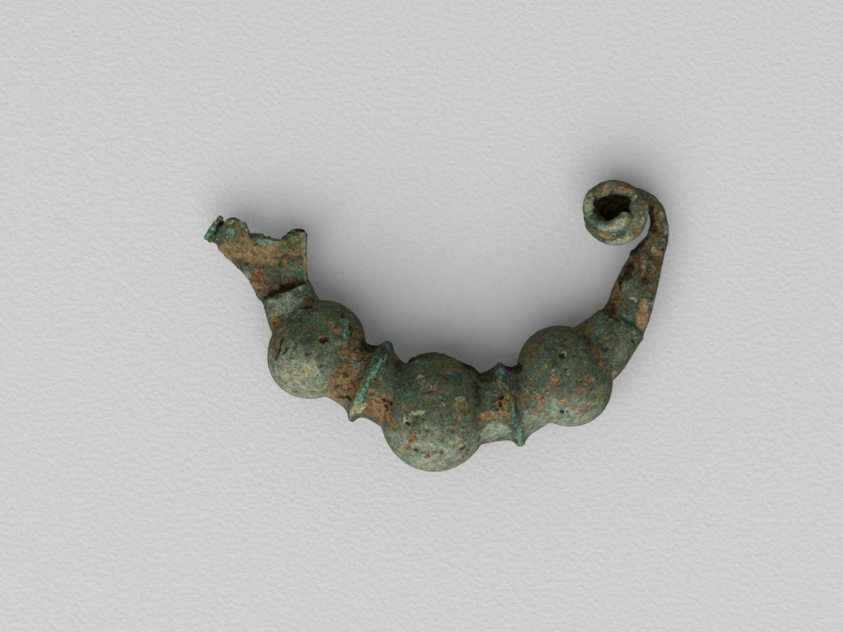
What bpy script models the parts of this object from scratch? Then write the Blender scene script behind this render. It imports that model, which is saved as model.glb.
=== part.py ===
"""Bronze bow brooch with three beads, lying on its side with its pin lost.

The bow is modelled in its own plane: u to the right, v up the bow, w towards the viewer, with the
middle bead at the origin. Catch-plate, bow, leg and coil are then joined into one solid, which is
laid down on the points that carry its weight.
"""

import math
from bisect import bisect_right
from dataclasses import dataclass

import bmesh
import bpy
from mathutils import Matrix, Vector

MM = 0.001
UP = Vector((0.0, 0.0, 1.0))

# The bow's centreline, from the catch-plate's end to the wire, and from the middle bead to the wire
BOW_SPAN = 56.31 * MM
BOW_RISE = 28.80 * MM

# Beads, each longer across the bow than along it
BEAD_1_RADIUS = 7.90 * MM
BEAD_1_HALF_LENGTH = 6.90 * MM
BEAD_2_RADIUS = 8.80 * MM
BEAD_2_HALF_LENGTH = 8.20 * MM
BEAD_3_RADIUS = 7.90 * MM
BEAD_3_HALF_LENGTH = 6.90 * MM

# Discs, whose faces run out of the necks in a hollow curve
DISC_1_RADIUS = 6.70 * MM
DISC_2_RADIUS = 6.45 * MM
DISC_THICKNESS = 0.75 * MM
DISC_FLARE = 0.75 * MM
DISC_LEAN = math.radians(4.5)

# Necks between beads and discs
NECK_1_RADIUS = 4.95 * MM
NECK_2_RADIUS = 5.00 * MM
NECK_3_RADIUS = 4.75 * MM

# Block between the catch-plate and the first bead
BLOCK_HALF_WIDTH = 3.90 * MM
BLOCK_FOOT_HALF_WIDTH = 4.25 * MM
BLOCK_RISE = 1.90 * MM
BLOCK_FOOT_RISE = 0.55 * MM
BLOCK_SQUARENESS = 2.8

# Catch-plate, broken off along its top, with what is left of its fold
PLATE_REACH = 11.30 * MM
PLATE_THICKNESS = 1.50 * MM
PLATE_ROOT_DEPTH = 2.20 * MM
PLATE_ROOT_INSET = 0.80 * MM
FOLD_LENGTH = 4.50 * MM
FOLD_HEIGHT = 1.95 * MM
FOLD_THICKNESS = 0.70 * MM
FOLD_FLOOR_THICKNESS = 0.60 * MM
FOLD_FLOOR_INSET = 0.02 * MM
FOLD_LEAF_INSET = 0.16 * MM
FOLD_TILT = math.radians(14.0)

# Collar after the third bead, and the step down from it to the leg
COLLAR_FOOT_HALF_WIDTH = 4.90 * MM
COLLAR_FOOT_HALF_THICKNESS = 4.40 * MM
COLLAR_HALF_WIDTH = 4.00 * MM
COLLAR_HALF_THICKNESS = 3.50 * MM
COLLAR_STEP = 0.75 * MM
COLLAR_SIDE_STEP = 0.25 * MM
COLLAR_STEP_LENGTH = 0.30 * MM

# Leg, a flattened bar that tapers to the wire
LEG_LOW_HALF_WIDTH = 3.35 * MM
LEG_LOW_HALF_THICKNESS = 2.50 * MM
LEG_MIDDLE_HALF_WIDTH = 2.95 * MM
LEG_MIDDLE_HALF_THICKNESS = 2.20 * MM
LEG_HIGH_HALF_WIDTH = 2.40 * MM
LEG_HIGH_HALF_THICKNESS = 1.95 * MM
LEG_NECK_HALF_WIDTH = 1.75 * MM
LEG_NECK_HALF_THICKNESS = 1.65 * MM
LEG_SQUARENESS = 2.4

# Wire and coil
WIRE_ROOT_RADIUS = 1.36 * MM
WIRE_ROOT_LAP = 0.06 * MM
WIRE_ROOT_OVERLAP = 1.60 * MM
WIRE_ROOT_TURN = math.radians(60.0)
WIRE_RADIUS = 1.17 * MM
WIRE_END_RADIUS = 1.04 * MM
WIRE_TIP_RADIUS = 0.86 * MM
WIRE_TIP_TURN = math.radians(12.0)
TURN_GAP = 0.06 * MM
COIL_RADIUS = 3.72 * MM
COIL_OPENING = 2.68 * MM
COIL_OPENING_TURN = math.radians(120.0)
COIL_LEAN = math.radians(9.0)
COIL_LEAN_TURN = math.radians(90.0)
COIL_DRIFT_U = -0.35 * MM
COIL_DRIFT_V = 1.25 * MM
COIL_SWEEP = math.radians(676.0)
COIL_CLOSING = 1.45 * MM
COIL_CLOSING_TURN = math.radians(110.0)

# How deep the flat spots are on the points that it lies on
REST_FLAT_DEPTH = 0.10 * MM

# How finely the round forms are divided
SECTION_SIDES = 28
BEAD_SIDES = 32
BEAD_RINGS = 18
DISC_RING_FLARES = (0.0, 0.4, 1.0, 2.1)
RING_SPACING = 1.6 * MM
COIL_STEPS_PER_TURN = 22
TRACE_STEPS = 60


@dataclass(frozen=True)
class Station:
    """A place on the bow's centreline, with the section that runs through it there."""

    name: str
    u: float
    v: float
    heading: float
    half_width: float
    half_thickness: float
    squareness: float = 2.0


@dataclass(frozen=True)
class Swelling:
    """A bead on the bow."""

    station: str
    radius: float
    half_length: float


@dataclass(frozen=True)
class Disc:
    """A thin disc on the bow."""

    station: str
    radius: float


def station(name, u, v, heading, half_width, half_thickness, squareness=2.0):
    """Place a station by shares of the bow's span and rise, and its heading in degrees."""
    return Station(
        name, u * BOW_SPAN, v * BOW_RISE, math.radians(heading), half_width, half_thickness, squareness
    )


PLATE_HALF = PLATE_THICKNESS / 2

# The bow's pose, from the catch-plate to the root of the coil
STATIONS = (
    station("block_end", -0.3953, 0.6347, -68, BLOCK_HALF_WIDTH, PLATE_HALF + BLOCK_RISE, BLOCK_SQUARENESS),
    station(
        "block_foot", -0.3742, 0.5215, -66, BLOCK_FOOT_HALF_WIDTH,
        PLATE_HALF + BLOCK_RISE + BLOCK_FOOT_RISE, BLOCK_SQUARENESS,
    ),
    station("bead_1", -0.3152, 0.3333, -44, NECK_1_RADIUS, NECK_1_RADIUS),
    station("disc_1", -0.1730, 0.1649, -26, NECK_1_RADIUS, NECK_1_RADIUS),
    station("bead_2", 0.0000, 0.0000, -8, NECK_2_RADIUS, NECK_2_RADIUS),
    station("disc_2", 0.1994, 0.0503, 14.5, NECK_2_RADIUS, NECK_2_RADIUS),
    station("bead_3", 0.3461, 0.1944, 33, NECK_3_RADIUS, NECK_3_RADIUS),
    station("collar_foot", 0.4251, 0.3108, 45, COLLAR_FOOT_HALF_WIDTH, COLLAR_FOOT_HALF_THICKNESS),
    station("collar_end", 0.4994, 0.4729, 56, COLLAR_HALF_WIDTH, COLLAR_HALF_THICKNESS),
    station("leg_low", 0.5328, 0.6250, 69, LEG_LOW_HALF_WIDTH, LEG_LOW_HALF_THICKNESS, LEG_SQUARENESS),
    station("leg_middle", 0.5532, 0.7326, 69, LEG_MIDDLE_HALF_WIDTH, LEG_MIDDLE_HALF_THICKNESS, LEG_SQUARENESS),
    station("leg_high", 0.5741, 0.8299, 67, LEG_HIGH_HALF_WIDTH, LEG_HIGH_HALF_THICKNESS, LEG_SQUARENESS),
    station("leg_neck", 0.5963, 0.9062, 71, LEG_NECK_HALF_WIDTH, LEG_NECK_HALF_THICKNESS, LEG_SQUARENESS),
    station("wire_root", 0.6047, 1.0000, 89, WIRE_ROOT_RADIUS + WIRE_ROOT_LAP, WIRE_ROOT_RADIUS + WIRE_ROOT_LAP),
)

BEADS = (
    Swelling("bead_1", BEAD_1_RADIUS, BEAD_1_HALF_LENGTH),
    Swelling("bead_2", BEAD_2_RADIUS, BEAD_2_HALF_LENGTH),
    Swelling("bead_3", BEAD_3_RADIUS, BEAD_3_HALF_LENGTH),
)

DISCS = (Disc("disc_1", DISC_1_RADIUS), Disc("disc_2", DISC_2_RADIUS))

# The catch-plate's outline beyond the block, in shares of its reach from the block's end: up the
# outer edge to the fold, along the broken top, and down the inner edge
PLATE_OUTLINE = (
    (-0.395, -0.067), (-0.482, 0.112), (-0.534, 0.214), (-0.665, 0.343), (-0.792, 0.460),
    (-0.879, 0.536), (-0.933, 0.621), (-0.967, 0.681), (-0.935, 0.742), (-0.909, 0.837),
    (-0.882, 0.891), (-0.825, 0.929), (-0.797, 0.981), (-0.734, 1.001), (-0.682, 0.981),
    (-0.618, 0.936), (-0.560, 0.885), (-0.533, 0.808), (-0.527, 0.778), (-0.464, 0.788),
    (-0.386, 0.776), (-0.317, 0.781), (-0.304, 0.743), (-0.220, 0.743), (-0.170, 0.709),
    (-0.096, 0.704), (0.021, 0.796), (0.085, 0.850), (0.161, 0.854), (0.225, 0.828),
    (0.269, 0.796), (0.258, 0.628), (0.246, 0.512), (0.265, 0.467), (0.260, 0.344),
    (0.273, 0.216), (0.305, 0.100), (0.358, -0.002), (0.402, -0.075),
)

# The floor of the fold, and the line that its standing leaf follows, in the same shares
FOLD_FLOOR_OUTLINE = (
    (-0.900, 0.600), (-0.985, 0.678), (-1.045, 0.680), (-1.075, 0.730), (-1.020, 0.855),
    (-0.955, 0.965), (-0.885, 1.005), (-0.800, 0.900),
)
FOLD_START = (-1.070, 0.690)
FOLD_END = (-0.850, 1.005)

# The fold's leaf, in shares of its length and height
LEAF_OUTLINE = (
    (0.00, 0.35), (0.06, 0.12), (0.20, 0.0), (0.86, 0.0), (0.97, 0.30), (1.00, 0.62),
    (0.90, 0.80), (0.72, 0.93), (0.50, 1.0), (0.30, 0.96), (0.12, 0.78), (0.02, 0.58),
)


def clear_scene():
    """Remove every object of the open scene."""
    for item in list(bpy.data.objects):
        bpy.data.objects.remove(item, do_unlink=True)


def new_collection(name):
    """Add an empty collection to the scene."""
    group = bpy.data.collections.new(name)
    bpy.context.scene.collection.children.link(group)
    return group


def bronze_material():
    """Bronze under a grey-green patina."""
    finish = bpy.data.materials.new("Patinated bronze")
    finish.use_nodes = True
    shader = finish.node_tree.nodes["Principled BSDF"]
    shader.inputs["Base Color"].default_value = (0.16, 0.19, 0.15, 1.0)
    shader.inputs["Roughness"].default_value = 0.75
    shader.inputs["Metallic"].default_value = 0.2
    return finish


def smooth(share):
    """Ease from 0 to 1, level at both ends."""
    share = min(max(share, 0.0), 1.0)
    return share * share * (3.0 - 2.0 * share)


def flat_direction(heading):
    """Turn a heading in the bow's plane into a unit vector."""
    return Vector((math.cos(heading), math.sin(heading), 0.0))


class Centreline:
    """The bow's centreline: a smooth curve through the stations at their headings."""

    def __init__(self, stations):
        self.stations = stations
        self.lengths = [0.0]
        self.points = [Vector((stations[0].u, stations[0].v, 0.0))]
        self.station_lengths = [0.0]
        for first, second in zip(stations, stations[1:]):
            self._trace(first, second)
            self.station_lengths.append(self.lengths[-1])
        self.by_name = {stop.name: length for stop, length in zip(stations, self.station_lengths)}

    def _trace(self, first, second):
        """Add the points of one span, a cubic between two stations."""
        start = Vector((first.u, first.v, 0.0))
        end = Vector((second.u, second.v, 0.0))
        pull = (end - start).length
        out_of = flat_direction(first.heading) * pull
        into = flat_direction(second.heading) * pull
        for step in range(1, TRACE_STEPS + 1):
            t = step / TRACE_STEPS
            point = (
                start * (2 * t**3 - 3 * t**2 + 1)
                + out_of * (t**3 - 2 * t**2 + t)
                + end * (3 * t**2 - 2 * t**3)
                + into * (t**3 - t**2)
            )
            self.lengths.append(self.lengths[-1] + (point - self.points[-1]).length)
            self.points.append(point)

    @property
    def length(self):
        """The whole length of the curve."""
        return self.lengths[-1]

    def point(self, place):
        """The point at a length along the curve."""
        index = min(max(bisect_right(self.lengths, place) - 1, 0), len(self.points) - 2)
        span = self.lengths[index + 1] - self.lengths[index]
        return self.points[index].lerp(self.points[index + 1], (place - self.lengths[index]) / span)

    def heading(self, place):
        """The unit vector along the curve at a length."""
        reach = self.length / (TRACE_STEPS * len(self.stations))
        low = max(place - reach, 0.0)
        high = min(place + reach, self.length)
        return (self.point(high) - self.point(low)).normalized()

    def between(self, place):
        """The two stations on each side of a length, and the eased share from one to the other."""
        index = min(max(bisect_right(self.station_lengths, place) - 1, 0), len(self.stations) - 2)
        start = self.station_lengths[index]
        share = (place - start) / (self.station_lengths[index + 1] - start)
        return self.stations[index], self.stations[index + 1], smooth(share)


def plain_section(line, place):
    """The half width, half thickness and squareness of the bow without its beads and discs."""
    first, second, share = line.between(place)
    if first.name == "collar_end":
        share = (place - line.by_name["collar_end"]) / (line.by_name["leg_low"] - line.by_name["collar_end"])
    half_width = first.half_width + (second.half_width - first.half_width) * share
    half_thickness = first.half_thickness + (second.half_thickness - first.half_thickness) * share
    squareness = first.squareness + (second.squareness - first.squareness) * share
    if first.name == "collar_end":
        stepped = smooth((place - line.by_name["collar_end"]) / COLLAR_STEP_LENGTH)
        fade = (1.0 - share) * stepped
        half_thickness -= COLLAR_STEP * fade
        half_width -= COLLAR_SIDE_STEP * fade
    return half_width, half_thickness, squareness


def section(line, place):
    """The bow's section at a length without its beads: half sizes, squareness and disc share."""
    half_width, half_thickness, squareness = plain_section(line, place)
    disc_share = 0.0
    for disc in DISCS:
        beyond = abs(place - line.by_name[disc.station]) - DISC_THICKNESS / 2
        share = math.exp(-max(beyond, 0.0) / DISC_FLARE)
        disc_share = max(disc_share, share)
        half_width += (disc.radius - half_width) * share
        half_thickness += (disc.radius - half_thickness) * share
    return half_width, half_thickness, squareness, disc_share


def ring_places(line):
    """Lengths along the bow at which it gets a ring of points, close together beside the discs."""
    places = list(line.station_lengths)
    places.append(line.by_name["collar_end"] + COLLAR_STEP_LENGTH)
    for disc in DISCS:
        centre = line.by_name[disc.station]
        for flares in DISC_RING_FLARES:
            reach = DISC_THICKNESS / 2 + flares * DISC_FLARE
            places += [centre - reach, centre + reach]
    for low, high in zip(line.station_lengths, line.station_lengths[1:]):
        parts = max(1, round((high - low) / RING_SPACING))
        for step in range(1, parts):
            place = low + (high - low) * step / parts
            if min(abs(place - other) for other in places) > RING_SPACING / 3:
                places.append(place)
    return sorted(places)


def ring_points(centre, across, up, half_width, half_thickness, squareness):
    """A closed ring: an oval that grows squarer as squareness rises above two."""
    power = 2.0 / squareness
    points = []
    for side in range(SECTION_SIDES):
        angle = 2 * math.pi * side / SECTION_SIDES
        x = math.copysign(abs(math.cos(angle)) ** power, math.cos(angle)) * half_width
        y = math.copysign(abs(math.sin(angle)) ** power, math.sin(angle)) * half_thickness
        points.append(centre + across * x + up * y)
    return points


def skin(rings):
    """A closed mesh through rings of points."""
    shape = bmesh.new()
    loops = [[shape.verts.new(point) for point in ring] for ring in rings]
    for first, second in zip(loops, loops[1:]):
        for side in range(len(first)):
            after = (side + 1) % len(first)
            shape.faces.new((first[side], first[after], second[after], second[side]))
    shape.faces.new(loops[0])
    shape.faces.new(list(reversed(loops[-1])))
    bmesh.ops.recalc_face_normals(shape, faces=shape.faces)
    return shape


def add_mesh(name, shape, group):
    """Put a bmesh into the scene as an object."""
    mesh = bpy.data.meshes.new(name)
    shape.to_mesh(mesh)
    shape.free()
    item = bpy.data.objects.new(name, mesh)
    group.objects.link(item)
    return item


def make_bow(line, group):
    """The bow from the block to the root of the wire, with its discs, collar and leg."""
    rings = []
    for place in ring_places(line):
        half_width, half_thickness, squareness, disc_share = section(line, place)
        along = line.heading(place)
        across = along.cross(UP)
        lean = Matrix.Rotation(DISC_LEAN * disc_share, 3, across)
        rings.append(ring_points(line.point(place), across, lean @ UP, half_width, half_thickness, squareness))
    return add_mesh("bow", skin(rings), group)


def make_bead(line, bead, group):
    """One bead: a sphere drawn in along the bow, with its poles inside the necks."""
    shape = bmesh.new()
    bmesh.ops.create_uvsphere(shape, u_segments=BEAD_SIDES, v_segments=BEAD_RINGS, radius=1.0)
    shape.transform(Matrix.Diagonal((bead.radius, bead.radius, bead.half_length, 1.0)))
    place = line.by_name[bead.station]
    along = line.heading(place)
    shape.transform(Matrix((along.cross(UP), UP, along)).transposed().to_4x4())
    shape.transform(Matrix.Translation(line.point(place)))
    bmesh.ops.recalc_face_normals(shape, faces=shape.faces)
    return add_mesh(bead.station, shape, group)


def curve_to_mesh(item, group):
    """Turn a curve object into a mesh object with its caps welded on."""
    bpy.context.view_layer.update()
    seen = item.evaluated_get(bpy.context.evaluated_depsgraph_get())
    mesh = bpy.data.meshes.new_from_object(seen)
    shape = bmesh.new()
    shape.from_mesh(mesh)
    bmesh.ops.remove_doubles(shape, verts=shape.verts, dist=0.001 * MM)
    bmesh.ops.recalc_face_normals(shape, faces=shape.faces)
    shape.to_mesh(mesh)
    shape.free()
    solid = bpy.data.objects.new(item.name + "_solid", mesh)
    solid.matrix_world = item.matrix_world.copy()
    group.objects.link(solid)
    bpy.data.objects.remove(item, do_unlink=True)
    return solid


def flat_plate(name, outline, thickness, place, group):
    """A plate of even thickness with a given outline, centred on its own plane."""
    curve = bpy.data.curves.new(name, "CURVE")
    curve.dimensions = "2D"
    curve.fill_mode = "BOTH"
    curve.extrude = thickness / 2
    spline = curve.splines.new("POLY")
    spline.points.add(len(outline) - 1)
    for point, (x, y) in zip(spline.points, outline):
        point.co = (x, y, 0.0, 1.0)
    spline.use_cyclic_u = True
    item = bpy.data.objects.new(name, curve)
    item.matrix_world = place
    group.objects.link(item)
    return curve_to_mesh(item, group)


def plate_point(share):
    """A point of the catch-plate, from shares of its reach beyond the block's end."""
    return STATIONS[0].u + share[0] * PLATE_REACH, STATIONS[0].v + share[1] * PLATE_REACH


def make_catch_plate(group):
    """The broken catch-plate, rooted in the block."""
    along = flat_direction(STATIONS[0].heading)
    across = along.cross(UP)
    root = Vector((STATIONS[0].u, STATIONS[0].v, 0.0)) + along * PLATE_ROOT_DEPTH
    side = across * (BLOCK_HALF_WIDTH - PLATE_ROOT_INSET)
    outline = [plate_point(share) for share in PLATE_OUTLINE]
    outline += [(root - side).to_2d(), (root + side).to_2d()]
    return flat_plate("catch_plate", outline, PLATE_THICKNESS, Matrix(), group)


def make_fold(group):
    """What is left of the plate's fold: its thin floor, and the leaf that stands on it."""
    floor_height = -PLATE_HALF + FOLD_FLOOR_INSET + FOLD_FLOOR_THICKNESS / 2
    floor = flat_plate(
        "fold_floor", [plate_point(share) for share in FOLD_FLOOR_OUTLINE],
        FOLD_FLOOR_THICKNESS, Matrix.Translation((0.0, 0.0, floor_height)), group,
    )
    start = Vector((*plate_point(FOLD_START), 0.0))
    end = Vector((*plate_point(FOLD_END), 0.0))
    along = (end - start).normalized()
    turn = math.atan2(along.y, along.x)
    middle = (start + end) / 2 - along * FOLD_LENGTH / 2
    place = (
        Matrix.Translation(middle + Vector((0.0, 0.0, FOLD_LEAF_INSET - PLATE_HALF)))
        @ Matrix.Rotation(turn, 4, "Z")
        @ Matrix.Rotation(math.pi / 2 - FOLD_TILT, 4, "X")
    )
    leaf = flat_plate(
        "fold_leaf", [(x * FOLD_LENGTH, y * FOLD_HEIGHT) for x, y in LEAF_OUTLINE], FOLD_THICKNESS, place, group
    )
    return floor, leaf


def coil_point(turn, centre, start_radius):
    """A point of the coil's wire at an angle from the place where the leg's wire meets it."""
    share = turn / (2 * math.pi)
    opening = 0.5 * (1.0 + math.cos(math.pi * min(turn / COIL_OPENING_TURN, 1.0)))
    closing = max(0.0, (turn - COIL_SWEEP + COIL_CLOSING_TURN) / COIL_CLOSING_TURN)
    radius = COIL_RADIUS + (start_radius - COIL_RADIUS) * opening - COIL_CLOSING * closing**2
    lean = COIL_LEAN * smooth(turn / COIL_LEAN_TURN)
    rise = 2 * WIRE_RADIUS + TURN_GAP
    return Vector((
        centre.x + radius * math.cos(turn) + COIL_DRIFT_U * share,
        centre.y + radius * math.sin(turn) * math.cos(lean) + COIL_DRIFT_V * share,
        rise * share - radius * math.sin(turn) * math.sin(lean),
    ))


def wire_radius(turn):
    """The wire's radius at an angle of the coil: thick at its root, thin at its broken end."""
    root = 1.0 - smooth(turn / WIRE_ROOT_TURN)
    tip = smooth((turn - COIL_SWEEP + WIRE_TIP_TURN) / WIRE_TIP_TURN)
    radius = WIRE_RADIUS + (WIRE_END_RADIUS - WIRE_RADIUS) * turn / COIL_SWEEP
    radius += (WIRE_ROOT_RADIUS - radius) * root
    return radius + (WIRE_TIP_RADIUS - radius) * tip


def make_coil(group):
    """The wire of the spring coil, from inside the leg's end to its broken tip."""
    root = Vector((STATIONS[-1].u, STATIONS[-1].v, 0.0))
    start_radius = COIL_RADIUS + COIL_OPENING
    centre = root - Vector((start_radius, 0.0, 0.0))
    lead = flat_direction(STATIONS[-1].heading)
    points = [(root - lead * WIRE_ROOT_OVERLAP * share, WIRE_ROOT_RADIUS) for share in (1.0, 0.5)]
    steps = round(COIL_STEPS_PER_TURN * COIL_SWEEP / (2 * math.pi))
    for step in range(steps + 1):
        turn = COIL_SWEEP * step / steps
        points.append((coil_point(turn, centre, start_radius), wire_radius(turn)))
    curve = bpy.data.curves.new("coil", "CURVE")
    curve.dimensions = "3D"
    curve.bevel_depth = 1.0
    curve.bevel_resolution = 2
    curve.use_fill_caps = True
    spline = curve.splines.new("POLY")
    spline.points.add(len(points) - 1)
    for point, (place, radius) in zip(spline.points, points):
        point.co = (*place, 1.0)
        point.radius = radius
    item = bpy.data.objects.new("coil", curve)
    group.objects.link(item)
    return curve_to_mesh(item, group)


def boolean(body, tool, operation):
    """Join a piece to the body, or cut it away, and keep the result as the body's mesh."""
    change = body.modifiers.new("boolean", "BOOLEAN")
    change.operation = operation
    change.solver = "EXACT"
    change.object = tool
    bpy.context.view_layer.update()
    seen = body.evaluated_get(bpy.context.evaluated_depsgraph_get())
    mesh = bpy.data.meshes.new_from_object(seen)
    body.modifiers.remove(change)
    body.data = mesh


def join(body, piece):
    """Fuse a piece into the body and remove it."""
    boolean(body, piece, "UNION")
    bpy.data.objects.remove(piece, do_unlink=True)


def centre_of_mass(mesh):
    """The centre of mass of a closed mesh of one material."""
    mesh.calc_loop_triangles()
    volume = 0.0
    moment = Vector((0.0, 0.0, 0.0))
    for triangle in mesh.loop_triangles:
        a, b, c = (mesh.vertices[index].co for index in triangle.vertices)
        part = a.dot(b.cross(c)) / 6
        volume += part
        moment += (a + b + c) / 4 * part
    return moment / volume


def resting_facet(mesh):
    """The underside of the mesh's hull on which its weight rests: a point of it, and its normal."""
    weight = centre_of_mass(mesh)
    hull = bmesh.new()
    hull.from_mesh(mesh)
    made = bmesh.ops.convex_hull(hull, input=hull.verts)["geom"]
    facets = [item for item in made if isinstance(item, bmesh.types.BMFace)]
    lowest = None
    for facet in facets:
        facet.normal_update()
        corners = [corner.co.copy() for corner in facet.verts]
        normal = facet.normal.copy()
        if normal.dot(corners[0] - weight) < 0:
            normal.negate()
            corners.reverse()
        foot = weight + normal * normal.dot(corners[0] - weight)
        inside = all(
            (second - first).cross(foot - first).dot(normal) >= 0
            for first, second in zip(corners, corners[1:] + corners[:1])
        )
        if inside and (lowest is None or normal.z < lowest[1].z):
            lowest = (corners[0], normal)
    hull.free()
    return lowest


def lay_down(item):
    """Turn an object so that it lies on its resting facet, with u along X and its box centred."""
    point, normal = resting_facet(item.data)
    up = -normal
    right = (Vector((1.0, 0.0, 0.0)) - up * up.x).normalized()
    turn = Matrix((right, up.cross(right), up)).to_4x4()
    lifted = [turn @ corner.co for corner in item.data.vertices]
    middle = [(min(p[axis] for p in lifted) + max(p[axis] for p in lifted)) / 2 for axis in (0, 1)]
    drop = (turn @ point).z + REST_FLAT_DEPTH
    item.matrix_world = Matrix.Translation((-middle[0], -middle[1], -drop)) @ turn


def flatten_rest(item, group):
    """Cut small flat spots where the object touches what it lies on."""
    bpy.ops.mesh.primitive_cube_add(size=1.0)
    cutter = bpy.context.object
    cutter.name = "floor_cutter"
    for owner in list(cutter.users_collection):
        owner.objects.unlink(cutter)
    group.objects.link(cutter)
    reach = 2 * max(item.dimensions)
    depth = 2 * MM
    cutter.data.transform(Matrix.Translation((0.0, 0.0, -depth / 2)) @ Matrix.Diagonal((reach, reach, depth, 1.0)))
    cutter.hide_render = True
    cutter.display_type = "WIRE"
    cut = item.modifiers.new("rest_flats", "BOOLEAN")
    cut.operation = "DIFFERENCE"
    cut.solver = "EXACT"
    cut.object = cutter


def main():
    """Build the brooch."""
    clear_scene()
    parts = new_collection("Fibula brooch")
    cutters = new_collection("Cutters")
    line = Centreline(STATIONS)
    brooch = make_bow(line, parts)
    brooch.name = "fibula_brooch"
    for bead in BEADS:
        join(brooch, make_bead(line, bead, parts))
    join(brooch, make_catch_plate(parts))
    for piece in make_fold(parts):
        join(brooch, piece)
    join(brooch, make_coil(parts))
    brooch.data.name = brooch.name
    brooch.data.materials.clear()
    brooch.data.materials.append(bronze_material())
    lay_down(brooch)
    bpy.context.view_layer.update()
    flatten_rest(brooch, cutters)
    brooch.data.shade_smooth()
    brooch.data.set_sharp_from_angle(angle=math.radians(40.0))


main()
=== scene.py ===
"""Looks of a bronze bow brooch with three beads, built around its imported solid.

The solid's form is taken over as a fine skin. Geometry Nodes then weather it: they raise crust, sink
pits and flakes, and store where each covering lies, which the patina's material reads. Places are given
as they are seen in the picture, in its pixels, and are set onto the solid along the camera's rays.
"""

import logging
import math
from dataclasses import dataclass, field
from enum import Enum

import bmesh
import bpy
from mathutils import Matrix, Vector
from mathutils.bvhtree import BVHTree

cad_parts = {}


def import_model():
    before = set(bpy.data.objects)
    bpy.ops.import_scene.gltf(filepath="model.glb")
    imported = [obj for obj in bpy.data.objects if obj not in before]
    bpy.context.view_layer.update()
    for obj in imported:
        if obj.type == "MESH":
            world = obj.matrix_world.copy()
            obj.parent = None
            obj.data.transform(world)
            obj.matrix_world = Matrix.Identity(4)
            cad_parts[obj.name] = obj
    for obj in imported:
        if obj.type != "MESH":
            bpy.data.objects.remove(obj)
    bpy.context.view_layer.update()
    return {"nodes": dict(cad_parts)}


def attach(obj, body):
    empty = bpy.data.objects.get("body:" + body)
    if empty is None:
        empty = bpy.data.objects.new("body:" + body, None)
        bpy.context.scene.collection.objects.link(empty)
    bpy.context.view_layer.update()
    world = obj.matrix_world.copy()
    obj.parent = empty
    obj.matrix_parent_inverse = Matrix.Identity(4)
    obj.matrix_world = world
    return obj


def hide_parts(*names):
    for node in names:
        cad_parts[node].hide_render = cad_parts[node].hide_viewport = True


LOG = logging.getLogger("brooch")
NODE = "fibula_brooch"
BODY = "root"
MM = 0.001
HALF = (0.5, 0.5, 0.5)
HOLLOW = "hollow"
POINT_FLOAT = {"data_type": "FLOAT", "domain": "POINT"}

# How far one pattern of noise lies from the next, in millimetres, and how strong its finer layers are.
NOISE_STEP = (17.31, 41.17, 7.73)
NOISE_ROUGHNESS = 0.55

Colour = tuple[float, float, float, float]


def paint(red: int, green: int, blue: int) -> Colour:
    """Turn a screen colour of 0 to 255 into the linear colour that materials take.

    Args:
        red: red part of the screen colour.
        green: green part.
        blue: blue part.

    Returns:
        The linear colour with full alpha.
    """

    def straighten(part: int) -> float:
        """Undo the screen's curve for one part."""
        share = part / 255
        return share / 12.92 if share <= 0.04045 else ((share + 0.055) / 1.055) ** 2.4

    return straighten(red), straighten(green), straighten(blue), 1.0


class Layer(Enum):
    """What lies on the bronze at a place. The value names the mesh attribute that holds its amount."""

    MINT = "mint"
    OLIVE = "olive"
    BROWN = "brown"
    RUST = "rust"
    RED = "red"
    TAN = "tan"
    TEAL = "teal"
    DEEP_TEAL = "deep_teal"
    CREAM = "cream"
    SOIL = "soil"
    FLAKE = "flake"
    CRISP = "crisp"


@dataclass(frozen=True)
class Mark:
    """A patch of one layer, as it is seen in the picture.

    Attributes:
        layer: what the patch is made of.
        seen: its centre, in the picture's pixels.
        size: its half width and half height, in the same pixels.
        turn: how far it is turned, in degrees, anticlockwise as seen.
        amount: how fully it covers.
        lift: how far it stands out, in millimetres, or lies deeper where it is negative.
        edge: how soft its edge is, in shares of its size.
    """

    layer: Layer
    seen: tuple[float, float]
    size: tuple[float, float]
    turn: float = 0.0
    amount: float = 1.0
    lift: float = 0.0
    edge: float = 0.35


def laid(rows: dict[Layer, list[tuple[float, ...]]]) -> list[Mark]:
    """Make the marks of a part from rows of numbers.

    Args:
        rows: the patches of each layer. A patch is its centre across and down, its half width and its
            half height, and then its turn, amount, lift and edge as far as they aren't the usual ones.

    Returns:
        The marks.
    """
    return [
        Mark(layer, (across, down), (width, height), *rest)
        for layer, patches in rows.items()
        for across, down, width, height, *rest in patches
    ]


@dataclass(frozen=True)
class Picture:
    """The photograph's frame and the camera over it. Lengths are in millimetres."""

    width: int = 843
    height: int = 632
    centre: tuple[float, float] = (-2.298, 1.400)
    scale: float = 0.150
    scale_height: float = 8.0
    distance: float = 350.0
    sensor: float = 36.0
    nearest: float = 10.0
    farthest: float = 10000.0

    @property
    def eye(self) -> Vector:
        """Where the camera is."""
        return Vector((*self.centre, self.scale_height + self.distance))

    def ray(self, seen: tuple[float, float]) -> Vector:
        """Direction from the camera through a pixel, counted from the top left, with a fall of one."""
        step = self.scale / self.distance
        return Vector(((seen[0] - self.width / 2) * step, (self.height / 2 - seen[1]) * step, -1.0))

    def spot(self, seen: tuple[float, float], height: float) -> Vector:
        """The place under a pixel at a height."""
        return self.eye + self.ray(seen) * (self.eye.z - height)

    def make_camera(self) -> None:
        """Add the camera, looking straight down, and make it the scene's own."""
        lens = bpy.data.cameras.new("camera")
        lens.sensor_width = self.sensor
        lens.lens = self.sensor * self.distance / (self.width * self.scale)
        lens.clip_start = self.nearest * MM
        lens.clip_end = self.farthest * MM
        camera = bpy.data.objects.new("camera", lens)
        camera.location = self.eye * MM
        bpy.context.scene.collection.objects.link(camera)
        bpy.context.scene.camera = camera


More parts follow.
